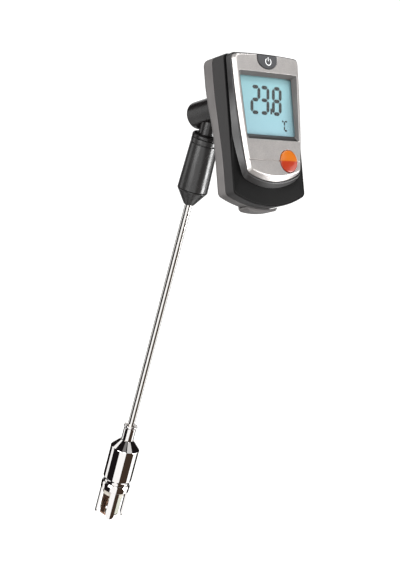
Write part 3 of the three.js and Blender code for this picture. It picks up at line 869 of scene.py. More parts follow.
@dataclass(frozen=True)
class Outline:
    """One outline of the case: curved foot, sides that swell or draw in, and arched top."""

    half_top: float
    half_low: float
    top: float
    low: float
    arch: float
    belly: float
    top_radius: float
    low_radius: float
    swell: float = 0.0
    waist: float = 0.0
    knee: float = -20.0
    foot_steps: int = 20
    side_steps: int = 24
    head_steps: int = 10
    corner_steps: int = 8

    def foot(self, x: float, inset: float = 0.0) -> float:
        """Gives the height of the foot at x."""
        return self.low + inset - self.belly * (1 - (x / (self.half_low - inset)) ** 2)

    def points(self, inset: float = 0.0) -> list[Point]:
        """Gives the outline's points.

        Args:
            inset: How far it is shrunk.

        Returns:
            Points as (x, z), the same number for every inset.
        """
        half_top, half_low = self.half_top - inset, self.half_low - inset
        top, low = self.top - inset, self.low + inset
        top_radius = max(self.top_radius - inset / 2, 0.4)
        low_radius = max(self.low_radius - inset / 2, 0.4)

        def head(x: float) -> float:
            """Gives the height of the arched top at x."""
            return top + self.arch * (1 - (x / half_top) ** 2)

        def side(z: float) -> float:
            """Gives half the width at z."""
            t = (z - low) / (top - low)
            drawn = self.waist * max(0.0, (self.knee - z) / (self.knee - low)) ** 1.3
            straight = half_low + self.waist
            return straight + (half_top - straight) * t + self.swell * 4 * t * (1 - t) - drawn

        foot_end, head_end = half_low - low_radius, half_top - top_radius
        side_low, side_top = low + low_radius, top - top_radius
        foot_line = [(foot_end * i / self.foot_steps, 0.0) for i in range(self.foot_steps + 1)]
        foot_line = [(x, self.foot(x, inset)) for x, _ in foot_line]
        heights = [side_low + (side_top - side_low) * i / self.side_steps for i in range(self.side_steps + 1)]
        side_line = [(side(z), z) for z in heights]
        head_xs = [head_end * (1 - i / self.head_steps) for i in range(self.head_steps + 1)]
        head_line = [(x, head(x)) for x in head_xs]
        return mirrored([
            *foot_line,
            *bend(foot_line[-1], (half_low, low), side_line[0], self.corner_steps),
            *side_line,
            *bend(side_line[-1], (half_top, top), head_line[0], self.corner_steps),
            *head_line,
        ])


CASE = Outline(23, 23.3, 18.9, -49.2, 0.9, 6.1, 3, 1.8)
HOUSING = Outline(22.3, 17.6, 18.6, -41.8, 0.9, 4.6, 2.8, 2, waist=4.9)
PLATE = Outline(21.6, 17.1, 18.3, -39.4, 0.8, 4.5, 2.4, 1.4, swell=0.9)
FLAT = Outline(20.1, 15.9, 17.6, -38, 1, 3.1, 2, 1, swell=0.9)


def rolled(outline: Outline, corner: Point, inset: float, depth: float, inward: bool,
           steps: int = 6) -> list[tuple[list[Point], float]]:
    """Gives the layers of a rounded edge.

    Args:
        outline: The outline that the edge follows.
        corner: Inset and depth of the unrounded corner.
        inset: How far in the round reaches.
        depth: How far along the depth the round reaches.
        inward: True if the edge curves in as the depth grows.
        steps: Pieces in the round.

    Returns:
        Layers of (outline points, depth), in order of depth.
    """
    layers = []
    for step in range(steps + 1):
        angle = math.pi / 2 * step / steps
        if inward:
            layer = (corner[0] + inset * (1 - math.cos(angle)), corner[1] - depth * (1 - math.sin(angle)))
        else:
            layer = (corner[0] + inset * (1 - math.sin(angle)), corner[1] + depth * (1 - math.cos(angle)))
        layers.append((outline.points(layer[0]), layer[1]))
    return layers


# ---------------------------------------------------------------- grip and shaft


@dataclass
class Grip:
    """The swivel cap, grip collar, tapered sleeve and nose cone, turned about the probe."""

    bench: Bench
    bore: float = 3.75
    spigot: float = 5.9
    inner: float = 6.2
    top_radius: float = 7.4
    low_radius: float = 8.1
    cap_top: float = -12.6
    dish: float = -13.3
    cap_low: float = -14.6
    collar_top: float = -14.9
    collar_low: float = -17.4
    sleeve_top: float = -17.8
    sleeve_low: float = -42.4
    cone_top: float = -42.7
    cone_low: float = -51.0

    def cap(self) -> None:
        """Makes the swivel cap, with a shallow dish that the elbow's neck stands in."""
        profile = filleted([
            (self.bore, self.dish), (6.0, self.dish, 0.15), (6.25, self.cap_top, 0.15),
            (6.8, self.cap_top - 0.05, 0.2), (self.top_radius, self.cap_top - 0.6, 0.3),
            (self.top_radius, self.cap_low, 0.15),
            (self.spigot, self.cap_low), (self.spigot, self.collar_low + 0.3),
            (self.bore, self.collar_low + 0.3),
        ])
        piece = self.bench.make("swivel_cap_moulding", turned(profile))
        self.bench.done(piece, Finish.SWIVEL, "swivel_plastic", "swivel_cap")

    def collar(self) -> None:
        """Makes the collar under the cap, with rounded rims and a lip that closes the seam below it."""
        lip, lip_low = self.top_radius - 0.7, self.sleeve_top + 0.02
        profile = filleted([
            (self.inner, self.collar_top), (self.top_radius, self.collar_top, 0.35),
            (self.top_radius, self.collar_low, 0.35), (lip, self.collar_low),
            (lip, lip_low), (self.inner, lip_low),
        ])
        piece = self.bench.make("grip_collar_moulding", turned(profile))
        self.bench.done(piece, Finish.GRIP, "grip_plastic", "grip_collar")

    def sleeve(self) -> None:
        """Makes the tapered grip sleeve."""
        profile = filleted([
            (self.inner, self.sleeve_top), (self.top_radius, self.sleeve_top, 0.35),
            (self.low_radius, self.sleeve_low, 0.2), (self.inner, self.sleeve_low),
        ])
        piece = self.bench.make("grip_sleeve_moulding", turned(profile))
        self.bench.done(piece, Finish.GRIP, "grip_plastic", "grip_sleeve")

    def cone(self) -> None:
        """Makes the nose cone, with its plug up inside the sleeve."""
        plug_top = -34.2
        shaft_bore = 2.3
        profile = filleted([
            (shaft_bore, plug_top), (self.spigot, plug_top, 0.4), (self.spigot, self.cone_top),
            (self.low_radius, self.cone_top, 0.2), (self.low_radius, self.cone_top - 0.4, 0.3),
            (3.15, self.cone_low + 0.5, 0.6), (2.75, self.cone_low, 0.3), (shaft_bore, self.cone_low),
        ])
        piece = self.bench.make("nose_cone_moulding", turned(profile))
        self.bench.done(piece, Finish.GRIP, "grip_plastic", "nose_cone")

    def build(self) -> None:
        """Makes the grip and dresses the bearing parts inside it."""
        self.cap()
        self.collar()
        self.sleeve()
        self.cone()
        dress("pivot_bush", Finish.BRASS)
        dress("friction_washer", Finish.SPRING)
        dress("shaft_ferrule", Finish.BRASS)


@dataclass
class Shaft:
    """The thin steel tube and the thermocouple lead in it."""

    bench: Bench
    radius: float = 2.0
    wall: float = 0.5
    top: float = -30.5
    low: float = -184.5

    def build(self) -> None:
        """Makes the tube and dresses the lead."""
        inner = self.radius - self.wall
        profile = filleted([
            (inner, self.low), (self.radius, self.low, 0.15), (self.radius, self.top, 0.15),
            (inner, self.top)])
        piece = self.bench.make("shaft_tube_drawn", turned(profile, 72))
        self.bench.done(piece, Finish.STEEL_TUBE, "probe_steel", "shaft_tube")
        dress("thermocouple_lead", Finish.NICKEL)


# ---------------------------------------------------------------- sensor head


@dataclass
class SensorHead:
    """The plated neck, body and four-pronged crown at the foot of the shaft."""

    bench: Bench
    shaft_bore: float = 2.3
    neck_radius: float = 3.5
    lip_radius: float = 3.9
    mouth: float = -181.7
    shoulder_top: float = -190.7
    shoulder_low: float = -195.5
    body_radius: float = 8.2
    body_low: float = -216.9
    cavity: float = 6.9
    crown_top: float = -217.2
    crown_rim: float = -221.4
    prong_tip: float = -237.9
    prong_width: float = 4.8
    crown_radius: float = 7.87
    crown_wall: float = 0.87
    turn_deg: float = -31.5

    def neck(self) -> None:
        """Makes the neck, with a rolled lip round the shaft."""
        low, plug = self.shoulder_top + 0.3, 2.9
        profile = filleted([
            (self.shaft_bore, self.mouth - 1.5), (3.05, self.mouth - 0.3, 0.2), (3.2, self.mouth, 0.12),
            (self.lip_radius, self.mouth, 0.35), (self.lip_radius, self.mouth - 1.2, 0.35),
            (self.neck_radius, self.mouth - 1.5, 0.2), (self.neck_radius, low), (plug, low), (plug, low - 5),
            (self.shaft_bore, low - 5),
        ])
        piece = self.bench.make("head_neck_turned", turned(profile))
        self.bench.done(piece, Finish.CHROME, "head_chrome", "head_neck")

    def body(self) -> None:
        """Makes the body: a short shoulder cone, a long cylinder and a stepped foot."""
        top_bore, cavity_top = 3.2, -197.6
        profile = filleted([
            (top_bore, self.shoulder_top), (self.neck_radius + 0.2, self.shoulder_top, 0.1),
            (self.body_radius, self.shoulder_low, 0.35), (self.body_radius, self.body_low + 2.6, 0.15),
            (7.7, self.body_low + 1.6, 0.3), (7.6, self.body_low, 0.1), (self.cavity, self.body_low),
            (self.cavity, cavity_top), (top_bore, cavity_top),
        ])
        piece = self.bench.make("head_body_turned", turned(profile, 160))
        self.bench.done(piece, Finish.CHROME, "head_chrome", "head_body")

    def prong_outline(self) -> list[Point]:
        """Gives one prong with its round tip, from the front."""
        half, top = self.prong_width / 2, self.crown_rim + 2
        middle = self.prong_tip + half
        arc = [math.pi + math.pi * step / 24 for step in range(25)]
        return [(half, top), (-half, top), *[(half * math.cos(a), middle + half * math.sin(a)) for a in arc]]

    def crown(self) -> None:
        """Makes the crown: a collar with a spigot up into the body, and four prongs at right angles."""
        bore, seat = 6.2, self.cavity - 0.3
        inner = self.crown_radius - self.crown_wall
        collar = self.bench.make("sensor_crown_milled", turned(filleted([
            (bore, self.crown_top + 3.5), (seat, self.crown_top + 3.5), (seat, self.crown_top),
            (7.6, self.crown_top, 0.15), (self.body_radius, self.crown_top - 1.4, 0.3),
            (self.body_radius, self.crown_rim, 0.25), (inner, self.crown_rim), (bore, self.crown_top - 3.4),
        ]), 160))
        tube = self.bench.make("tube", turned([
            (inner, self.prong_tip - 1), (self.crown_radius, self.prong_tip - 1),
            (self.crown_radius, self.crown_rim + 0.5), (inner, self.crown_rim + 0.5),
        ], 160))
        reach = self.body_radius + 1
        slabs = []
        for quarter in (0, math.pi / 2):
            spin = Matrix.Rotation(quarter, 4, "Z")
            rings = [[spin @ Vector((x, y, z)) for x, z in self.prong_outline()] for y in (-reach, reach)]
            slabs.append(self.bench.make("slab", lofted(rings)))
        cross = combined(slabs[0], Cut.JOIN, slabs[1])
        crown = combined(collar, Cut.JOIN, combined(tube, Cut.COMMON, cross))
        middle = self.bench.place.translation
        spin = Matrix.Translation(middle) @ Matrix.Rotation(math.radians(self.turn_deg), 4, "Z")
        crown.data.transform(spin @ Matrix.Translation(-middle))
        self.bench.done(crown, Finish.CHROME, "head_chrome", "sensor_crown")

    def spring(self) -> None:
        """Makes the coil that pushes the sensor down."""
        wire, radius, low, high, turns = 0.35, 4.2, -211.6, -198.0, 6
        path = helix(lambda _: radius, low + wire, high - wire, turns)
        piece = self.bench.make("sensor_spring_wound", swept(path, wire))
        self.bench.done(piece, Finish.SPRING, "spring_steel", "sensor_spring", sharp_deg=60)

    def build(self) -> None:
        """Makes the head."""
        self.neck()
        self.body()
        self.crown()
        self.spring()
        dress("sensor_guide", Finish.CERAMIC)


@dataclass
class SensorTip:
    """The sprung tip: a ceramic carrier with two crossed bands and the bead where they meet."""

    bench: Bench
    stem: float = 2.6
    lead_bore: float = 1.1
    stem_top: float = -209.0
    disc_top: float = -221.9
    disc_low: float = -224.9
    disc_radius: float = 6.1
    band_foot: float = -237.6
    band_width: float = 3.2
    band_thickness: float = 0.25
    band_corner: float = 2.4
    turn_deg: float = 13.5
    outer_reach: float = 5.9
    inner_reach: float = 5.5
    outer_bow: float = 1.1
    inner_bow: float = 0.35

    def band(self, name: str, reach: float, bow: float, turn_deg: float, finish: Finish, slot: str,
             node: str) -> None:
        """Makes one U-shaped band.

        Args:
            name: The piece's name.
            reach: Half the width of the U.
            bow: How far its foot bows out.
            turn_deg: Its turn about the probe.
            finish: Its finish.
            slot: Its material slot.
            node: The CAD node that it stands for.
        """
        top = self.disc_low + 0.8

        def line(offset: float) -> list[Point]:
            """Gives one face of the strip, offset into the U."""
            r, z, c = reach - offset, self.band_foot + offset, self.band_corner - offset
            low = (0.0, z - 2 * bow)
            return [
                (-r, top), (-r, z + c), *bend((-r, z + c), (-r, z), (-r + c, z), 10), (-r + c, z),
                *bend((-r + c, z), low, (r - c, z), 20), (r - c, z),
                *bend((r - c, z), (r, z), (r, z + c), 10), (r, z + c), (r, top),
            ]

        outline = [*line(0), *reversed(line(self.band_thickness))]
        spin = Matrix.Rotation(math.radians(turn_deg), 4, "Z")
        half = self.band_width / 2
        rings = [[spin @ Vector((x, y, z)) for x, z in outline] for y in (-half, half)]
        piece = self.bench.make(name, lofted(rings))
        self.bench.done(piece, finish, slot, node)

    def bead(self) -> None:
        """Makes the weld bead between the two bands, where the temperature is taken."""
        low, high, radius = -238.5, -237.9, 0.9
        profile = filleted([(0, low), (radius, low, 0.3), (radius, high, 0.3), (0, high)])
        piece = self.bench.make("sensor_weld_bead", turned(profile, 32))
        self.bench.done(piece, Finish.NICKEL, "band_nickel")

    def carrier(self) -> None:
        """Makes the ceramic disc and its stem."""
        profile = filleted([
            (self.lead_bore, self.stem_top), (self.stem, self.stem_top, 0.3), (self.stem, self.disc_top),
            (self.disc_radius, self.disc_top, 0.3), (self.disc_radius, self.disc_low, 0.3),
            (self.lead_bore, self.disc_low),
        ])
        piece = self.bench.make("band_carrier_pressed", turned(profile, 72))
        self.bench.done(piece, Finish.CERAMIC, "probe_ceramic", "band_carrier")

    def build(self) -> None:
        """Makes the tip."""
        self.carrier()
        self.band("sensor_band_outer_strip", self.outer_reach, self.outer_bow, self.turn_deg,
                  Finish.BRONZE, "band_bronze", "sensor_band_outer")
        self.band("sensor_band_inner_strip", self.inner_reach, self.inner_bow, self.turn_deg + 90,
                  Finish.NICKEL, "band_nickel", "sensor_band_inner")
        self.bead()
        dress("stem_nut", Finish.BRASS)


# ---------------------------------------------------------------- elbow


@dataclass
class Elbow:
    """The swivel elbow: a boss on the display's axis and a neck on the probe's axis, in one moulding."""

    probe: Bench
    case: Bench
    boss_radius: float = 7.2
    boss_end: float = -37.9
    case_spigot: float = 3.9
    pivot: float = 3.4
    neck_radius: float = 4.6
    foot: float = -13.0
    pivot_end: float = -27.0

    def build(self) -> None:
        """Makes the elbow and dresses its clips."""
        end, groove = 3.4, 0.6
        clip_top, clip_low, clip_cut = -25.3, -26.2, self.pivot - 0.5
        spigot = self.case_spigot
        boss = self.case.make("swivel_elbow_moulding", facing(turned(filleted([
            (0, self.boss_end), (self.boss_radius, self.boss_end, 1.5), (self.boss_radius, -0.3, 0.15),
            (spigot, -0.3), (spigot, 2), (spigot - groove, 2), (spigot - groove, 2.9), (spigot, 2.9),
            (spigot, end, 0.3), (0, end),
        ], 8), 128)))
        pivot = self.pivot
        neck = self.probe.make("neck", turned(filleted([
            (0, 0), (self.neck_radius, 0), (self.neck_radius, self.foot, 0.15), (pivot, self.foot),
            (pivot, clip_top), (clip_cut, clip_top), (clip_cut, clip_low), (pivot, clip_low),
            (pivot, self.pivot_end, 0.3), (0, self.pivot_end),
        ], 8), 128))
        self.case.done(combined(boss, Cut.JOIN, neck), Finish.SWIVEL, "swivel_plastic", "swivel_elbow")
        dress("pivot_clip", Finish.SPRING)
        dress("display_swivel_clip", Finish.SPRING)


# ---------------------------------------------------------------- case


@dataclass
class Case:
    """The two case halves, their screws and the sliding battery cover."""

    bench: Bench
    cover_bench: Bench
    wall: float = 1.6
    joint_depth: float = 6.1
    gap: float = 0.3
    ridge: float = 13.5
    panel: float = 14.1
    cover_half: float = 16.2
    cover_top: float = -12.3
    cover_depth: float = 1.4
    tab_half: float = 9.8
    tab_drop: float = 1.5
    tab_far: float = 7.0
    behind: float = -8.0
    rib_count: int = 9
    socket_bore: float = 7.5
    screw_seats: tuple[Point, ...] = ((-18.4, 14.6), (18.4, 14.6), (-19, -41.5), (19, -41.5))

    def rear_block(self, bench: Bench, name: str) -> Piece:
        """Makes the rear half's outer shape, solid."""
        return bench.make(name, BOW.layered([
            *rolled(CASE, (0, 0), 2.2, 3.0, inward=False, steps=10),
            *rolled(CASE, (0, self.joint_depth), 0.35, 0.35, inward=True, steps=4),
        ]))

    def rear(self) -> None:
        """Makes the rear half: a shell with the swivel's socket, screw posts and the battery opening."""
        bench = self.bench
        cavity = bench.make("cavity", BOW.layered([
            *rolled(CASE, (self.wall, self.wall), 1.6, 2.4, inward=False, steps=5),
            (CASE.points(self.wall), self.joint_depth + 1),
        ]))
        rim, behind = self.behind + 0.5, self.behind
        socket = bench.make("socket", facing(turned(filleted([
            (0, rim), (10.4, rim, 0.5), (10.4, self.wall), (0, self.wall)]), 128)))
        socket_bore = bench.make("socket_bore", facing(turned([
            (0, behind), (self.socket_bore + 0.3, behind), (self.socket_bore + 0.3, rim),
            (self.socket_bore, rim + 0.3), (self.socket_bore, 0), (0, 0)], 128)))
        hole = bench.make("hole", facing(turned([(0, -1), (4.2, -1), (4.2, 2.6), (0, 2.6)], 64)))
        far = self.cover_half + self.gap
        opening = bench.make(
            "opening", block(-far, -60, far, self.cover_top + self.gap, behind, self.cover_depth + self.gap))
        posts, bores, mouths = [], [], []
        for x, z in self.screw_seats:
            start, end = BOW.depth(1, z), BOW.depth(self.joint_depth, z) - 0.1
            back = BOW.depth(0, z)
            post = turned([(0, start), (2.7, start), (2.7, end), (0, end)], 32)
            bore = turned([(0, -1), (1.25, -1), (1.25, self.joint_depth + 1), (0, self.joint_depth + 1)], 24)
            mouth = turned([
                (0, behind), (2.6, behind), (2.6, back - 0.05), (2.2, back + 0.2), (2.2, 1.7), (0, 1.7)], 48)
            posts.append(bench.make("post", facing(post, x, z)))
            bores.append(bench.make("bore", facing(bore, x, z)))
            mouths.append(bench.make("mouth", facing(mouth, x, z)))
        shell = combined(self.rear_block(bench, "rear_shell_moulding"), Cut.AWAY, cavity)
        combined(shell, Cut.JOIN, socket, *posts)
        combined(shell, Cut.AWAY, socket_bore, hole, opening, *bores, *mouths)
        bench.done(shell, Finish.REAR_CASE, "rear_case_plastic", "rear_shell")

    def foot_strip(self, upper: float, lower: float) -> list[Point]:
        """Gives a strip that follows the curved foot of the case, with round lower corners."""
        count, half = 24, self.tab_half
        xs = [half * (2 * i / count - 1) for i in range(count + 1)]
        ease = [min(1.0, (half - abs(x)) / 1.2) for x in xs]
        drops = [lower - 0.8 * (1 - math.sqrt(max(0.0, 1 - (1 - e) ** 2))) for e in ease]
        below = [(x, CASE.foot(x) - drop) for x, drop in zip(xs, drops)]
        return [*below, *[(x, CASE.foot(x) - upper) for x in reversed(xs)]]

    def cover(self) -> None:
        """Makes the battery cover: a plate, two hooks and a ribbed thumb tab that wraps under the case."""
        bench = self.cover_bench
        lower = self.gap + self.tab_drop
        area = bench.make("area", block(
            -self.cover_half, -60, self.cover_half, self.cover_top, self.behind, self.cover_depth))
        cover = combined(self.rear_block(bench, "battery_cover_moulding"), Cut.COMMON, area)
        tab = bench.make("tab", layered([
            (self.foot_strip(self.gap, lower - 0.4), 0.3), (self.foot_strip(self.gap, lower), 0.8),
            (self.foot_strip(self.gap, lower), self.tab_far - 0.5),
            (self.foot_strip(self.gap, lower - 0.4), self.tab_far)]))
        root = bench.make("root", layered([
            (self.foot_strip(-3, lower - 0.4), 0.3), (self.foot_strip(-3, lower - 0.1), self.cover_depth)]))
        hooks = []
        for x in (-5.45, 5.45):
            top = self.cover_top
            hooks.append(bench.make("hook", block(x - 1, top - 2, x + 1, top + 1.6, 1.9, 2.8)))
            hooks.append(bench.make("hook_foot", block(x - 1, top - 2, x + 1, top - 0.2, 1, 2.2)))
        combined(cover, Cut.JOIN, tab, root, *hooks)
        grooves = []
        pitch = 1.9
        for index in range(self.rib_count):
            x = (index - (self.rib_count - 1) / 2) * pitch
            z = CASE.foot(x) - lower
            flare = [(x - 0.45, z - 0.6), (x + 0.45, z - 0.6), (x + 0.2, z + 0.45), (x - 0.2, z + 0.45)]
            grooves.append(bench.make("groove", layered([(flare, 2.0), (flare, self.tab_far - 0.7)])))
        arrow = filleted([(-3, -18.5), (0, -21.5), (3, -18.5), (3, -17.7), (0, -20.4), (-3, -17.7)])
        grooves.append(bench.make("arrow", layered([(arrow, -0.5), (arrow, 0.3)])))
        combined(cover, Cut.AWAY, *grooves)
        bench.done(cover, Finish.REAR_CASE, "rear_case_plastic", "battery_cover")

    def front(self) -> None:
        """Makes the front half: walls up to a beaded ridge, then a panel that slopes up to the housing."""
        bench, near = self.bench, self.joint_depth + self.gap
        seat, step_in = HOUSING.points(), CASE.points(0.85)
        layers = [
            *rolled(CASE, (0, near), 0.35, 0.35, inward=False, steps=4),
            *rolled(CASE, (0, self.ridge), 0.45, 0.45, inward=True, steps=5),
            (CASE.points(0.6), self.ridge), (CASE.points(0.75), self.ridge - 0.1),
            *[(between(step_in, seat, share), self.ridge - 0.25 + (self.panel - self.ridge + 0.25) * share)
              for share in (0.0, 0.3, 0.6, 1.0)],
        ]
        ceiling = 12.7
        shell = bench.make("front_shell_moulding", BOW.layered(layers))
        cavity = bench.make("cavity", BOW.layered([
            (CASE.points(self.wall), near - 1), (CASE.points(self.wall), ceiling - 1),
            (CASE.points(2.4), ceiling)]))
        posts, holes = [], []
        for x, z in self.screw_seats:
            start = BOW.depth(near, z) + 0.5
            post = turned([(0, start), (2.4, start), (2.4, ceiling + 0.4), (0, ceiling + 0.4)], 32)
            hole = turned([(0, near - 2), (1.25, near - 2), (1.25, 12.2), (0, 12.2)], 24)
            posts.append(bench.make("post", facing(post, x, z)))
            holes.append(bench.make("hole", facing(hole, x, z)))
        holes.append(bench.make("board_pocket", layered([
            (box_outline(-19.6, -22.4, 19.6, 12, 0.8), ceiling - 1),
            (box_outline(-19.6, -22.4, 19.6, 12, 0.8), self.panel + 1)])))
        holes.append(bench.make("switch_pocket", block(-6.6, 11, 6.6, 17.5, ceiling - 1, self.panel + 1)))
        combined(shell, Cut.AWAY, cavity)
        combined(shell, Cut.JOIN, *posts)
        combined(shell, Cut.AWAY, *holes)
        # The panel in front of the ridge is painted near-black, as painted shade; the walls keep the grey.
        forward = (bench.place.to_3x3() @ Vector((0, -1, 0))).normalized()
        limit = (bench.place @ Vector((0, -(self.ridge - 0.3), 0))).dot(forward)
        bench.done(shell, PlasticWithPaintedPanelShade(tuple(forward), limit).build(), "front_case_plastic", "front_shell",
                   sharp_deg=40)

    def screws(self) -> None:
        """Makes the four case screws, with cross slots in their pan heads."""
        for index, (x, z) in enumerate(self.screw_seats, 1):
            profile = filleted([
                (0, 0.3), (1.9, 0.3, 0.4), (1.9, 1.4), (0.95, 1.4), (0.95, 11.2, 0.3), (0, 11.8)])
            screw = self.bench.make(f"case_screw_{index}_rolled", facing(turned(profile, 48), x, z))
            slots = [
                self.bench.make("slot", block(x - 1.1, z - 0.25, x + 1.1, z + 0.25, -0.2, 0.8)),
                self.bench.make("slot", block(x - 0.25, z - 1.1, x + 0.25, z + 1.1, -0.2, 0.8)),
            ]
            combined(screw, Cut.AWAY, *slots)
            self.bench.done(screw, Finish.FASTENER, "fastener_steel", f"case_screw_{index}")

    def build(self) -> None:
        """Makes the case."""
        self.rear()
        self.cover()
        self.front()
        self.screws()


# ---------------------------------------------------------------- face


@dataclass
class Face:
    """The dark housing round the display, the silver faceplate, the badge and the power button."""

    bench: Bench
    key_bench: Bench
    gap: float = 0.3
    housing_near: float = 14.4
    recess: float = 16.2
    edge: float = 17.3
    flat: float = 19.3
    lens: float = 16.0
    window_top: float = 9.9
    window_low: float = -23.3
    window_half_top: float = 18.8
    window_half_low: float = 16.8
    glass_top: float = 8.3
    glass_low: float = -20.6
    glass_half_top: float = 16.9
    glass_half_low: float = 16.6
    key_half: float = 6.3
    key_top: float = 18.3
    key_shoulder: float = 16.4
    key_low: float = 11.8
    badge_x: float = 8.8
    badge_z: float = -33.5
    badge_radius: float = 5.45

    def quad(self, top: float, low: float, half_top: float, half_low: float,
             grow: float = 0.0) -> list[Point]:
        """Gives a window outline with round corners.

        Args:
            top: Height of its top edge.
            low: Height of its lower edge.
            half_top: Half its width at the top.
            half_low: Half its width at the foot.
            grow: How far it is grown all round.

        Returns:
            Its points, the same number for every size.
        """
        top, low, half_top, half_low = top + grow, low - grow, half_top + grow, half_low + grow
        corner = 1.2
        return filleted([(-half_low, low, corner), (half_low, low, corner),
                         (half_top, top, corner), (-half_top, top, corner)], 8)

    def window(self, grow: float = 0.0) -> list[Point]:
        """Gives the outline of the window in the faceplate."""
        return self.quad(self.window_top, self.window_low, self.window_half_top, self.window_half_low, grow)

    def glass(self, grow: float = 0.0) -> list[Point]:
        """Gives the outline of the display that shows."""
        return self.quad(self.glass_top, self.glass_low, self.glass_half_top, self.glass_half_low, grow)

    def key(self, outset: float = 0.0, top: float | None = None) -> list[Point]:
        """Gives the button's outline: flat top, short sides and a half-ellipse below."""
        half, drop = self.key_half + outset, self.key_shoulder - self.key_low + outset
        angles = [math.pi / 2 * step / 16 for step in range(17)]
        foot = [(half * math.sin(a), self.key_shoulder - drop * math.cos(a)) for a in angles]
        high = self.key_top if top is None else top
        corner = 0.5
        start, end = (half, high - corner), (half - corner, high)
        return mirrored([*foot, start, *bend(start, (half, high), end, 4), end, (0, high)])

    def housing(self) -> None:
        """Makes the dark housing: a raised rim round the plate, with the funnel down to the display."""
        bench = self.bench
        foot, rim = HOUSING.points(0.1), PLATE.points(-0.45)
        housing = bench.make("face_housing_moulding", layered([
            (foot, self.housing_near), (foot, self.housing_near + 0.1),
            (between(foot, rim, 0.9), self.edge - 0.15),
            *rolled(PLATE, (-0.42, self.edge + 0.1), 0.18, 0.18, inward=True, steps=4)]))
        recess = bench.make("recess", layered([(PLATE.points(), self.recess), (PLATE.points(), self.flat)]))
        plateau = bench.make("plateau", layered([
            (PLATE.points(1.3), self.recess - 0.4), (PLATE.points(1.5), self.edge - 0.3),
            (FLAT.points(1), 18.1)]))
        funnel = bench.make("funnel", layered([
            (self.glass(), self.lens), (self.glass(), self.lens + 0.95), (self.window(), self.flat)]))
        pocket_outline = box_outline(-18.4, -21.2, 18.4, 10.7, 0.8)
        pocket = bench.make("pocket", layered([(pocket_outline, 14.1), (pocket_outline, self.lens + 0.95)]))
        well = bench.make("well", layered([(self.key(self.gap), 15.8), (self.key(self.gap), self.flat)]))
        middle = (self.key_top + self.key_low) / 2
        hole = turned([(0, 14), (1.8, 14), (1.8, self.flat), (0, self.flat)], 48)
        stem_hole = bench.make("stem_hole", facing(hole, 0, middle))
        combined(housing, Cut.AWAY, recess)
        combined(housing, Cut.JOIN, plateau)
        combined(housing, Cut.AWAY, funnel, pocket, well, stem_hole)
        bench.done(housing, Finish.HOUSING, "face_housing_plastic", "face_housing")

    def plate(self) -> None:
        """Makes the silver faceplate: a bevelled shell with window, notch, badge hole and score line."""
        bench = self.bench
        edge, flat = PLATE.points(0.35), FLAT.points()
        corner, inner = between(edge, flat, 0.82), FLAT.points(0.5)
        rounding = 0.18 * (self.flat - self.edge)
        crest = [(between(between(corner, flat, t), between(flat, inner, t), t),
                  self.flat - rounding * (1 - t) ** 2) for t in (0, 0.2, 0.4, 0.6, 0.8, 1)]
        plate = bench.make("faceplate_moulding", layered([
            (edge, 16.8), (edge, self.edge - 0.1), (between(edge, flat, 0.02), self.edge + 0.02), *crest]))
        hollow = bench.make("hollow", layered([
            (PLATE.points(1.1), 16), (PLATE.points(1.1), self.edge), (FLAT.points(0.7), 18.4)]))
        rim, flare = 0.22, 0.3
        window = bench.make("window", layered([
            (self.window(), 15), (self.window(), self.flat - rim), (self.window(flare), self.flat + 0.1)]))
        notch_top = 24
        notch = bench.make("notch", layered([
            (self.key(self.gap, notch_top), 15), (self.key(self.gap, notch_top), self.flat - rim),
            (self.key(self.gap + flare, notch_top), self.flat + 0.1)]))
        radius, over = self.badge_radius + self.gap, self.flat + 0.1
        hole = bench.make("hole", facing(turned(
            [(0, 15), (radius, 15), (radius, self.flat - rim), (radius + flare, over), (0, over)], 96),
            self.badge_x, self.badge_z))
        half, deep = 0.45, 0.55
        z = self.badge_z
        across = [(z - half, self.flat + 0.05), (z - half / 3, self.flat - deep),
                  (z + half / 3, self.flat - deep), (z + half, self.flat + 0.05)]
        rings = [[Vector((x, -depth, h)) for h, depth in across] for x in (-30, 30)]
        score = bench.make("score", lofted(rings))
        combined(plate, Cut.AWAY, hollow, window, notch, hole, score)
        bench.done(plate, Finish.SILVER, "silver_paint", "faceplate", sharp_deg=28)

    def lining(self) -> None:
        """Makes the lighter lining of the window, on its top and side walls and not on its lower wall."""
        bench, thin, seat = self.bench, 0.14, self.lens + 0.98
        lining = bench.make("window_lining_moulded", layered([
            (self.glass(0.04), seat), (self.window(0.04), self.flat - 0.06)]))
        inside = bench.make("inside", layered([
            (self.glass(-thin), seat - 0.5), (self.glass(-thin), seat), (self.window(-thin), self.flat),
            (self.window(-thin), self.flat + 0.5)]))
        reach = self.glass_half_low - 0.9
        lower = bench.make("lower", block(-reach, -30, reach, self.glass_low + 4, self.lens, self.flat + 1))
        combined(lining, Cut.AWAY, inside, lower)
        bench.done(lining, Finish.WALL, "face_housing_plastic")

    def badge(self) -> None:
        """Makes the domed orange badge, with light and shade painted in: lighter above its middle and redder
        below.
        """
        profile = filleted([
            (0, 18.4), (self.badge_radius, 18.4), (self.badge_radius, 19.5, 0.35), (3.6, 20.05, 1.4),
            (0, 20.3)], 8)
        badge = self.bench.make("accent_badge_cast", facing(turned(profile, 128), self.badge_x, self.badge_z))
        up = (self.bench.place.to_3x3() @ Vector((0, 0, 1))).normalized()
        # the height where the painted shading turns from the lighter orange to the redder orange
        middle = self.bench.place @ Vector((self.badge_x, -20, self.badge_z))
        lacquer = DomedLacquerWithPaintedShade(tuple(up), middle.dot(up)).build()
        self.bench.done(badge, lacquer, "badge_lacquer", "accent_badge")

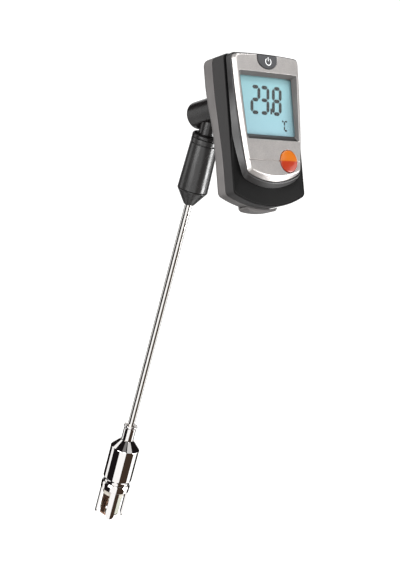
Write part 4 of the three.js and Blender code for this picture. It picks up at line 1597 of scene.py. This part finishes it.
    def button(self) -> None:
        """Makes the power button, slightly domed, with its stem and the printed power sign."""
        bench = self.key_bench
        middle = (self.key_top + self.key_low) / 2
        centre = [(0.0, middle)] * len(self.key())
        top = self.flat + 0.3
        edge_round, crown, steps = 0.45, 0.1, 5
        layers = [(self.key(), 16.4), (self.key(), top - edge_round)]
        for step in range(1, steps + 1):
            angle = math.pi / 2 * step / steps
            inset = 1 - math.cos(angle)
            outline = self.key(-edge_round * inset, self.key_top - 0.4 * inset)
            layers.append((outline, top - edge_round * (1 - math.sin(angle))))
        edge = layers[-1][0]
        layers += [(between(edge, centre, share), top + crown * (1 - (1 - share) ** 2))
                   for share in (0.2, 0.4, 0.6, 0.8, 0.97)]
        cap = bench.make("power_button_moulding", layered(layers))
        rod = turned([(0, 15.4), (1.2, 15.4), (1.2, 16.8), (0, 16.8)], 32)
        stem = bench.make("stem", facing(rod, 0, middle))
        bench.done(combined(cap, Cut.JOIN, stem), Finish.KEY, "button_rubber", "power_button")
        self.power_sign(bench, 0.2, middle + 0.2, top - 0.1, top + 0.14)

    @staticmethod
    def power_sign(bench: Bench, x: float, z: float, near: float, far: float) -> None:
        """Makes the printed sign: an open ring and a bar.

        Args:
            bench: The button's bench.
            x: Its middle across the case.
            z: Its middle up the case.
            near: Depth of its back.
            far: Depth of its face.
        """
        radius, stroke, open_deg, bar = 1.75, 0.42, 38, 2.0
        start, end = math.radians(90 + open_deg), math.radians(450 - open_deg)
        angles = [start + (end - start) * step / 40 for step in range(41)]
        wide, narrow = radius + stroke / 2, radius - stroke / 2
        outer = [(x + wide * math.cos(a), z + wide * math.sin(a)) for a in angles]
        inner = [(x + narrow * math.cos(a), z + narrow * math.sin(a)) for a in angles]
        ring = [*outer, *reversed(inner)]
        line = box_outline(x - stroke / 2, z + 0.2, x + stroke / 2, z + 0.2 + bar, 0.15)
        for name, outline in (("power_sign_ring", ring), ("power_sign_bar", line)):
            piece = bench.make(name, layered([(outline, near), (outline, far)]))
            bench.done(piece, Finish.PRINT, "button_rubber")

    def build(self) -> None:
        """Makes the face."""
        self.housing()
        self.plate()
        self.lining()
        self.badge()
        self.button()


# ---------------------------------------------------------------- display


class Segment(Enum):
    """The seven segments of a digit: whether it lies flat, and its middle in half widths and half heights."""

    TOP = (True, 0, 1)
    UPPER_RIGHT = (False, 1, 0.5)
    LOWER_RIGHT = (False, 1, -0.5)
    FOOT = (True, 0, -1)
    LOWER_LEFT = (False, -1, -0.5)
    UPPER_LEFT = (False, -1, 0.5)
    MIDDLE = (True, 0, 0)


DIGITS: dict[str, tuple[Segment, ...]] = {
    "2": (Segment.TOP, Segment.UPPER_RIGHT, Segment.MIDDLE, Segment.LOWER_LEFT, Segment.FOOT),
    "3": (Segment.TOP, Segment.UPPER_RIGHT, Segment.MIDDLE, Segment.LOWER_RIGHT, Segment.FOOT),
    "8": tuple(Segment),
    "C": (Segment.TOP, Segment.UPPER_LEFT, Segment.LOWER_LEFT, Segment.FOOT),
}


@dataclass
class Display:
    """The window, the liquid crystal glass and the reading on it."""

    bench: Bench
    near: float = 14.7
    far: float = 15.7
    lens_near: float = 16.0
    lens_far: float = 16.6
    half: float = 17.8
    top: float = 10.1
    low: float = -20.6
    slant: float = 0.105
    digit_height: float = 12.7
    digit_width: float = 4.5
    digit_middle: float = -3.1
    stroke: float = 1.85
    digits: tuple[tuple[str, float], ...] = (("2", -6.65), ("3", -0.75), ("8", 7.35))

    def mark(self, name: str, outline: Sequence[Point]) -> None:
        """Makes one dark mark on the glass, slanted as the reading is."""
        slanted = [(x + (z - self.digit_middle) * self.slant, z) for x, z in outline]
        piece = self.bench.make(name, layered([(slanted, self.far - 0.02), (slanted, self.far + 0.03)]))
        self.bench.done(piece, Finish.SEGMENT, "display_glass")

    def digit(self, sign: str, name: str, middle: Point, width: float, height: float, stroke: float) -> None:
        """Makes the segments of one digit.

        Args:
            sign: The digit.
            name: The start of its pieces' names.
            middle: Its middle on the glass.
            width: Distance between its upright strokes' middles.
            height: Distance between its level strokes' middles at top and foot.
            stroke: The width of a stroke.
        """
        clear = stroke * 0.12
        for segment in DIGITS[sign]:
            level, across, up = segment.value
            x, z = middle[0] + across * width / 2, middle[1] + up * height / 2
            length = (width if level else height / 2) / 2 - clear
            half, body = stroke / 2, length - stroke / 2
            line = [(-length, 0), (-body, -half), (body, -half), (length, 0), (body, half), (-body, half)]
            outline = [(x + a, z + b) if level else (x + b, z + a) for a, b in line]
            self.mark(f"{name}_{segment.name.lower()}", outline)

    def reading(self) -> None:
        """Makes the reading, with its decimal point and unit."""
        for index, (sign, x) in enumerate(self.digits, 1):
            middle = (x, self.digit_middle)
            self.digit(sign, f"digit_{index}", middle, self.digit_width, self.digit_height, self.stroke)
        foot = self.digit_middle - self.digit_height / 2
        self.mark("decimal_point", box_outline(3.1, foot - 0.4, 4.3, foot + 2.5))
        self.digit("C", "unit", (13.4, -15.2), 2.0, 4.6, 0.85)
        circle = [2 * math.pi * step / 24 for step in range(24)]
        self.mark("unit_degree", [(11.3 + 0.55 * math.cos(a), -12.9 + 0.55 * math.sin(a)) for a in circle])

    def build(self) -> None:
        """Makes the display and dresses what lies under it."""
        bench = self.bench
        lens = bench.make("display_window_moulding", layered([
            *[(box_outline(-18 + cut, -20.8 + cut, 18 - cut, 10.3 - cut, 0.8), depth)
              for cut, depth in ((0, self.lens_near), (0, self.lens_far - 0.15), (0.15, self.lens_far))]]))
        bench.done(lens, Finish.WINDOW, "window_plastic", "display_window")
        up = (bench.place.to_3x3() @ Vector((0, 0, 1))).normalized()
        heights = [(bench.place @ Vector((0, -self.far, z))).dot(up) for z in (self.low, self.top)]
        glass = bench.make("display_panel_glass", layered([
            (box_outline(-self.half, self.low, self.half, self.top, 0.2), self.near),
            (box_outline(-self.half, self.low, self.half, self.top, 0.2), self.far)]))
        bench.done(glass, DisplayGlass(tuple(up), *heights).build(), "display_glass", "display_panel")
        self.reading()
        dress("display_reflector", Finish.REFLECTOR)
        dress("contact_strip_upper", Finish.STRIP)
        dress("contact_strip_lower", Finish.STRIP)
        dress("circuit_board", Finish.BOARD)
        dress("measuring_chip", Finish.CHIP)
        dress("power_switch", Finish.FASTENER)


# ---------------------------------------------------------------- battery bay


@dataclass
class BatteryBay:
    """Three cells side by side, each between a contact plate and a contact spring."""

    bench: Bench
    radius: float = 5.25
    length: float = 44.5
    depth: float = 7.0
    bays: tuple[tuple[float, float, bool], ...] = (
        (-10.9, -49.9, False), (0.0, -51.9, True), (10.9, -49.9, False))  # place across, foot, turned over

    def standing(self, skin: Skin, x: float, middle: float = 0.0, flipped: bool = False) -> Skin:
        """Moves a piece made along Z into its bay, turned over about its middle if flipped."""
        turn = Matrix.Rotation(math.pi if flipped else 0, 4, "X")
        shift = Matrix.Translation((x, -self.depth, middle)) @ turn @ Matrix.Translation((0, 0, -middle))
        return Skin([shift @ point for point in skin.points], skin.faces)

    def cell(self, number: int, x: float, low: float, flipped: bool) -> None:
        """Makes one cell in two pieces: the steel can with its ends, and the printed sleeve.

        Args:
            number: The cell's number.
            x: Its place across the case.
            low: Height of its foot.
            flipped: True if it stands with its positive end down.
        """
        top = low + self.length
        shoulder, middle = top - 1, low + self.length / 2
        can = filleted([
            (0, low), (self.radius - 0.15, low, 0.4), (self.radius - 0.15, shoulder, 0.4), (2.6, shoulder),
            (1.9, shoulder, 0.1), (1.9, top, 0.35), (0, top)])
        sleeve = filleted([
            (self.radius - 0.6, low + 0.05), (self.radius, low + 0.05, 0.4),
            (self.radius, shoulder - 0.05, 0.5), (self.radius - 1.2, shoulder + 0.06),
            (self.radius - 1.2, shoulder - 0.3), (self.radius - 0.6, shoulder - 0.9)])
        upright = self.standing(turned(can, 64), x, middle, flipped)
        steel = self.bench.make(f"battery_cell_{number}_can", upright)
        self.bench.done(steel, Finish.FASTENER, "contact_nickel", f"battery_cell_{number}")
        upright = self.standing(turned(sleeve, 64), x, middle, flipped)
        wrap = self.bench.make(f"battery_cell_{number}_sleeve", upright)
        self.bench.done(wrap, Finish.SLEEVE, "cell_wrap")

    def build(self) -> None:
        """Makes the cells and springs and dresses the contact plates."""
        for number, (x, low, flipped) in enumerate(self.bays, 1):
            self.cell(number, x, low, flipped)
            high = low - 0.3
            path = helix(lambda t: 2.6 - 1.3 * t, high - 0.75, high - 0.2, 2)
            spring = self.bench.make(f"contact_spring_{number}_wound", self.standing(swept(path, 0.2), x))
            self.bench.done(spring, Finish.SPRING, "spring_steel", f"contact_spring_{number}", sharp_deg=60)
            dress(f"contact_plate_{number}", Finish.FASTENER)


# ---------------------------------------------------------------- studio


@dataclass(frozen=True)
class Card:
    """One sheet of the surround, in degrees: its turn from the camera's side, its height and half spans."""

    turn: float
    half_turn: float
    height: float
    half_height: float
    colour: str
    power: float = 1.0


@dataclass
class Studio:
    """A pale floor, white and dark cards for the shiny parts to mirror, lamps and the camera."""

    focal_mm: float = 88.92
    sensor_mm: float = 36.0
    camera_from_centre: tuple[float, float, float] = (-0.4602, -0.5406, 0.1475)
    camera_turn_deg: float = -41.756  # from looking at the back of the grip, seen from above
    camera_pitch_deg: float = -18.686  # looking down
    camera_roll_deg: float = 15.078
    floor_drop: float = 0.02
    floor_half: float = 6.0
    floor_glow: float = 0.4
    ambient: float = 0.85
    ambient_below: float = 0.15
    above_deg: float = 30.0  # the height from which the even light is full
    below_deg: float = -60.0  # the height under which it is at its weakest
    dark: str = "#1d191a"
    cards: tuple[Card, ...] = (
        Card(54, 32, -25, 65, "#47392f"),
        Card(-4.5, 26.5, -20, 70, "#ffffff", 1.25),
        Card(-99.5, 12.5, -20, 70, "#ffffff", 1.2),
        Card(102, 17, -35, 55, "#ffffff", 1.6),
        Card(180, 28, 0, 90, "#ffffff"),
        Card(-180, 28, 0, 90, "#ffffff"),
        Card(58, 24, 52, 13, "#ffffff", 0.8),
        Card(0, 20, 62, 12, "#8a8888"),
    )

    def camera(self, centre: Vector) -> None:
        """Places the camera, rolled so that the probe leans.

        Args:
            centre: The swivel's centre.
        """
        turn = (Matrix.Rotation(math.radians(self.camera_turn_deg), 4, "Z")
                @ Matrix.Rotation(math.radians(90 + self.camera_pitch_deg), 4, "X")
                @ Matrix.Rotation(math.radians(self.camera_roll_deg), 4, "Z"))
        data = bpy.data.cameras.new("studio_camera")
        data.lens, data.sensor_width = self.focal_mm, self.sensor_mm
        data.clip_start, data.clip_end = 0.01, 50
        view = bpy.data.objects.new("studio_camera", data)
        view.matrix_world = Matrix.Translation(centre + Vector(self.camera_from_centre)) @ turn
        bpy.context.scene.collection.objects.link(view)
        bpy.context.scene.camera = view

    def floor(self) -> None:
        """Makes the pale floor under the tip."""
        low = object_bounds()[0][2] - self.floor_drop
        half = self.floor_half
        mesh = bpy.data.meshes.new("studio_floor")
        corners = [(-half, -half, low), (half, -half, low), (half, half, low), (-half, half, low)]
        mesh.from_pydata(corners, [], [(0, 1, 2, 3)])
        piece = bpy.data.objects.new("studio_floor", mesh)
        bpy.context.scene.collection.objects.link(piece)
        material, tree = empty_material("backlit_white_paper")
        tone = spread(tree, cloud(tree, object_place(tree), 60.0), 0, 1)
        close_material(tree, {
            "Base Color": blend_colours(tree, tone, linear("#f6f6f5"), linear("#f2f2f1")),
            "Roughness": 0.9,
            "Emission Color": linear("#ffffff"),
            "Emission Strength": self.floor_glow,
        })
        mesh.materials.append(material)
        piece.visible_glossy = False  # the shiny parts mirror the cards below the floor's level
        piece.visible_diffuse = False  # the underside stays in shade
        piece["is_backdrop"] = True

    def world(self) -> None:
        """Makes the surround: white to the eye, cards in reflections, and soft light from above."""
        world = bpy.data.worlds.new("studio_surround")
        world.use_nodes = True
        tree = world.node_tree
        tree.nodes.clear()
        front = Vector((*self.camera_from_centre[:2], 0)).normalized()
        way = add_node(tree, "ShaderNodeTexCoord").outputs["Generated"]

        def along(axis: Sequence[float]) -> Socket:
            """Gives how far the way points along an axis."""
            node = add_node(tree, "ShaderNodeVectorMath", {0: way, 1: axis}, operation="DOT_PRODUCT")
            return node.outputs["Value"]

        def compute(operation: str, *values: object) -> Socket:
            """Works out one step of arithmetic."""
            node = add_node(tree, "ShaderNodeMath", dict(enumerate(values)), operation=operation)
            return node.outputs["Value"]

        turn = compute("DEGREES", compute("ARCTAN2", along((-front.y, front.x, 0)), along(front)))
        height = compute("DEGREES", compute("ARCSINE", along((0, 0, 1))))
        colour = linear(self.dark)
        for card in self.cards:
            mask = compute("MULTIPLY", compute("COMPARE", turn, card.turn, card.half_turn),
                           compute("COMPARE", height, card.height, card.half_height))
            sheet = tuple(value * card.power for value in linear(card.colour))
            mix = add_node(tree, "ShaderNodeMix", {0: mask, 6: colour, 7: sheet}, data_type="RGBA")
            colour = mix.outputs[2]
        rays = add_node(tree, "ShaderNodeLightPath").outputs
        even = add_node(tree, "ShaderNodeMapRange", {
            "Value": height, "From Min": self.below_deg, "From Max": self.above_deg,
            "To Min": self.ambient_below, "To Max": self.ambient,
        }).outputs["Result"]
        colour = add_node(tree, "ShaderNodeMix", {
            0: rays["Is Diffuse Ray"], 6: colour, 7: even}, data_type="RGBA")
        colour = add_node(tree, "ShaderNodeMix", {
            0: rays["Is Camera Ray"], 6: colour.outputs[2], 7: linear("#ffffff")}, data_type="RGBA")
        back = add_node(tree, "ShaderNodeBackground", {"Color": colour.outputs[2]})
        add_node(tree, "ShaderNodeOutputWorld", {"Surface": back.outputs["Background"]})
        bpy.context.scene.world = world

    def lamp(self, name: str, place: Vector, aim: Vector, size: Point, watts: float) -> None:
        """Hangs one soft box.

        Args:
            name: The lamp's name.
            place: Where it hangs.
            aim: The point it faces.
            size: Its width and height in metres.
            watts: Its power.
        """
        data = bpy.data.lights.new(name, "AREA")
        data.shape, data.size, data.size_y, data.energy = "RECTANGLE", size[0], size[1], watts
        light = bpy.data.objects.new(name, data)
        turn = (aim - place).to_track_quat("-Z", "Y").to_matrix().to_4x4()
        light.matrix_world = Matrix.Translation(place) @ turn
        light.visible_camera = False
        bpy.context.scene.collection.objects.link(light)

    def build(self, centre: Vector) -> None:
        """Sets up the studio round the swivel's centre."""
        self.camera(centre)
        self.floor()
        self.world()
        bpy.context.scene.view_settings.view_transform = "Standard"
        self.lamp("key_soft_box", centre + Vector((-0.6, -0.9, 0.8)), centre, (0.5, 0.5), 5)
        self.lamp("left_soft_box", centre + Vector((-0.5, -0.1, 0.03)), centre, (0.25, 0.3), 1.5)
        self.lamp("right_soft_box", centre + Vector((0.36, -0.4, -0.1)), centre, (0.2, 0.2), 2.4)
        self.lamp("plate_soft_box", centre + Vector((0.03, -0.054, 0.147)), centre, (0.06, 0.03), 0.12)


def main() -> None:
    """Builds the object, sub-assembly by sub-assembly, and the studio round it."""
    logging.basicConfig(level=logging.INFO, format="%(name)s: %(message)s")
    places = Places()
    Studio().build(places.centre)
    probe, case = places.probe("probe"), places.case("display_unit")
    Grip(probe).build()
    Shaft(probe).build()
    SensorHead(probe).build()
    SensorTip(places.probe("sensor")).build()
    Elbow(places.probe("elbow"), places.case("elbow")).build()
    Case(case, places.case("cover")).build()
    Face(case, places.case("power_key")).build()
    Display(case).build()
    BatteryBay(case).build()


if __name__ == "__main__":
    main()
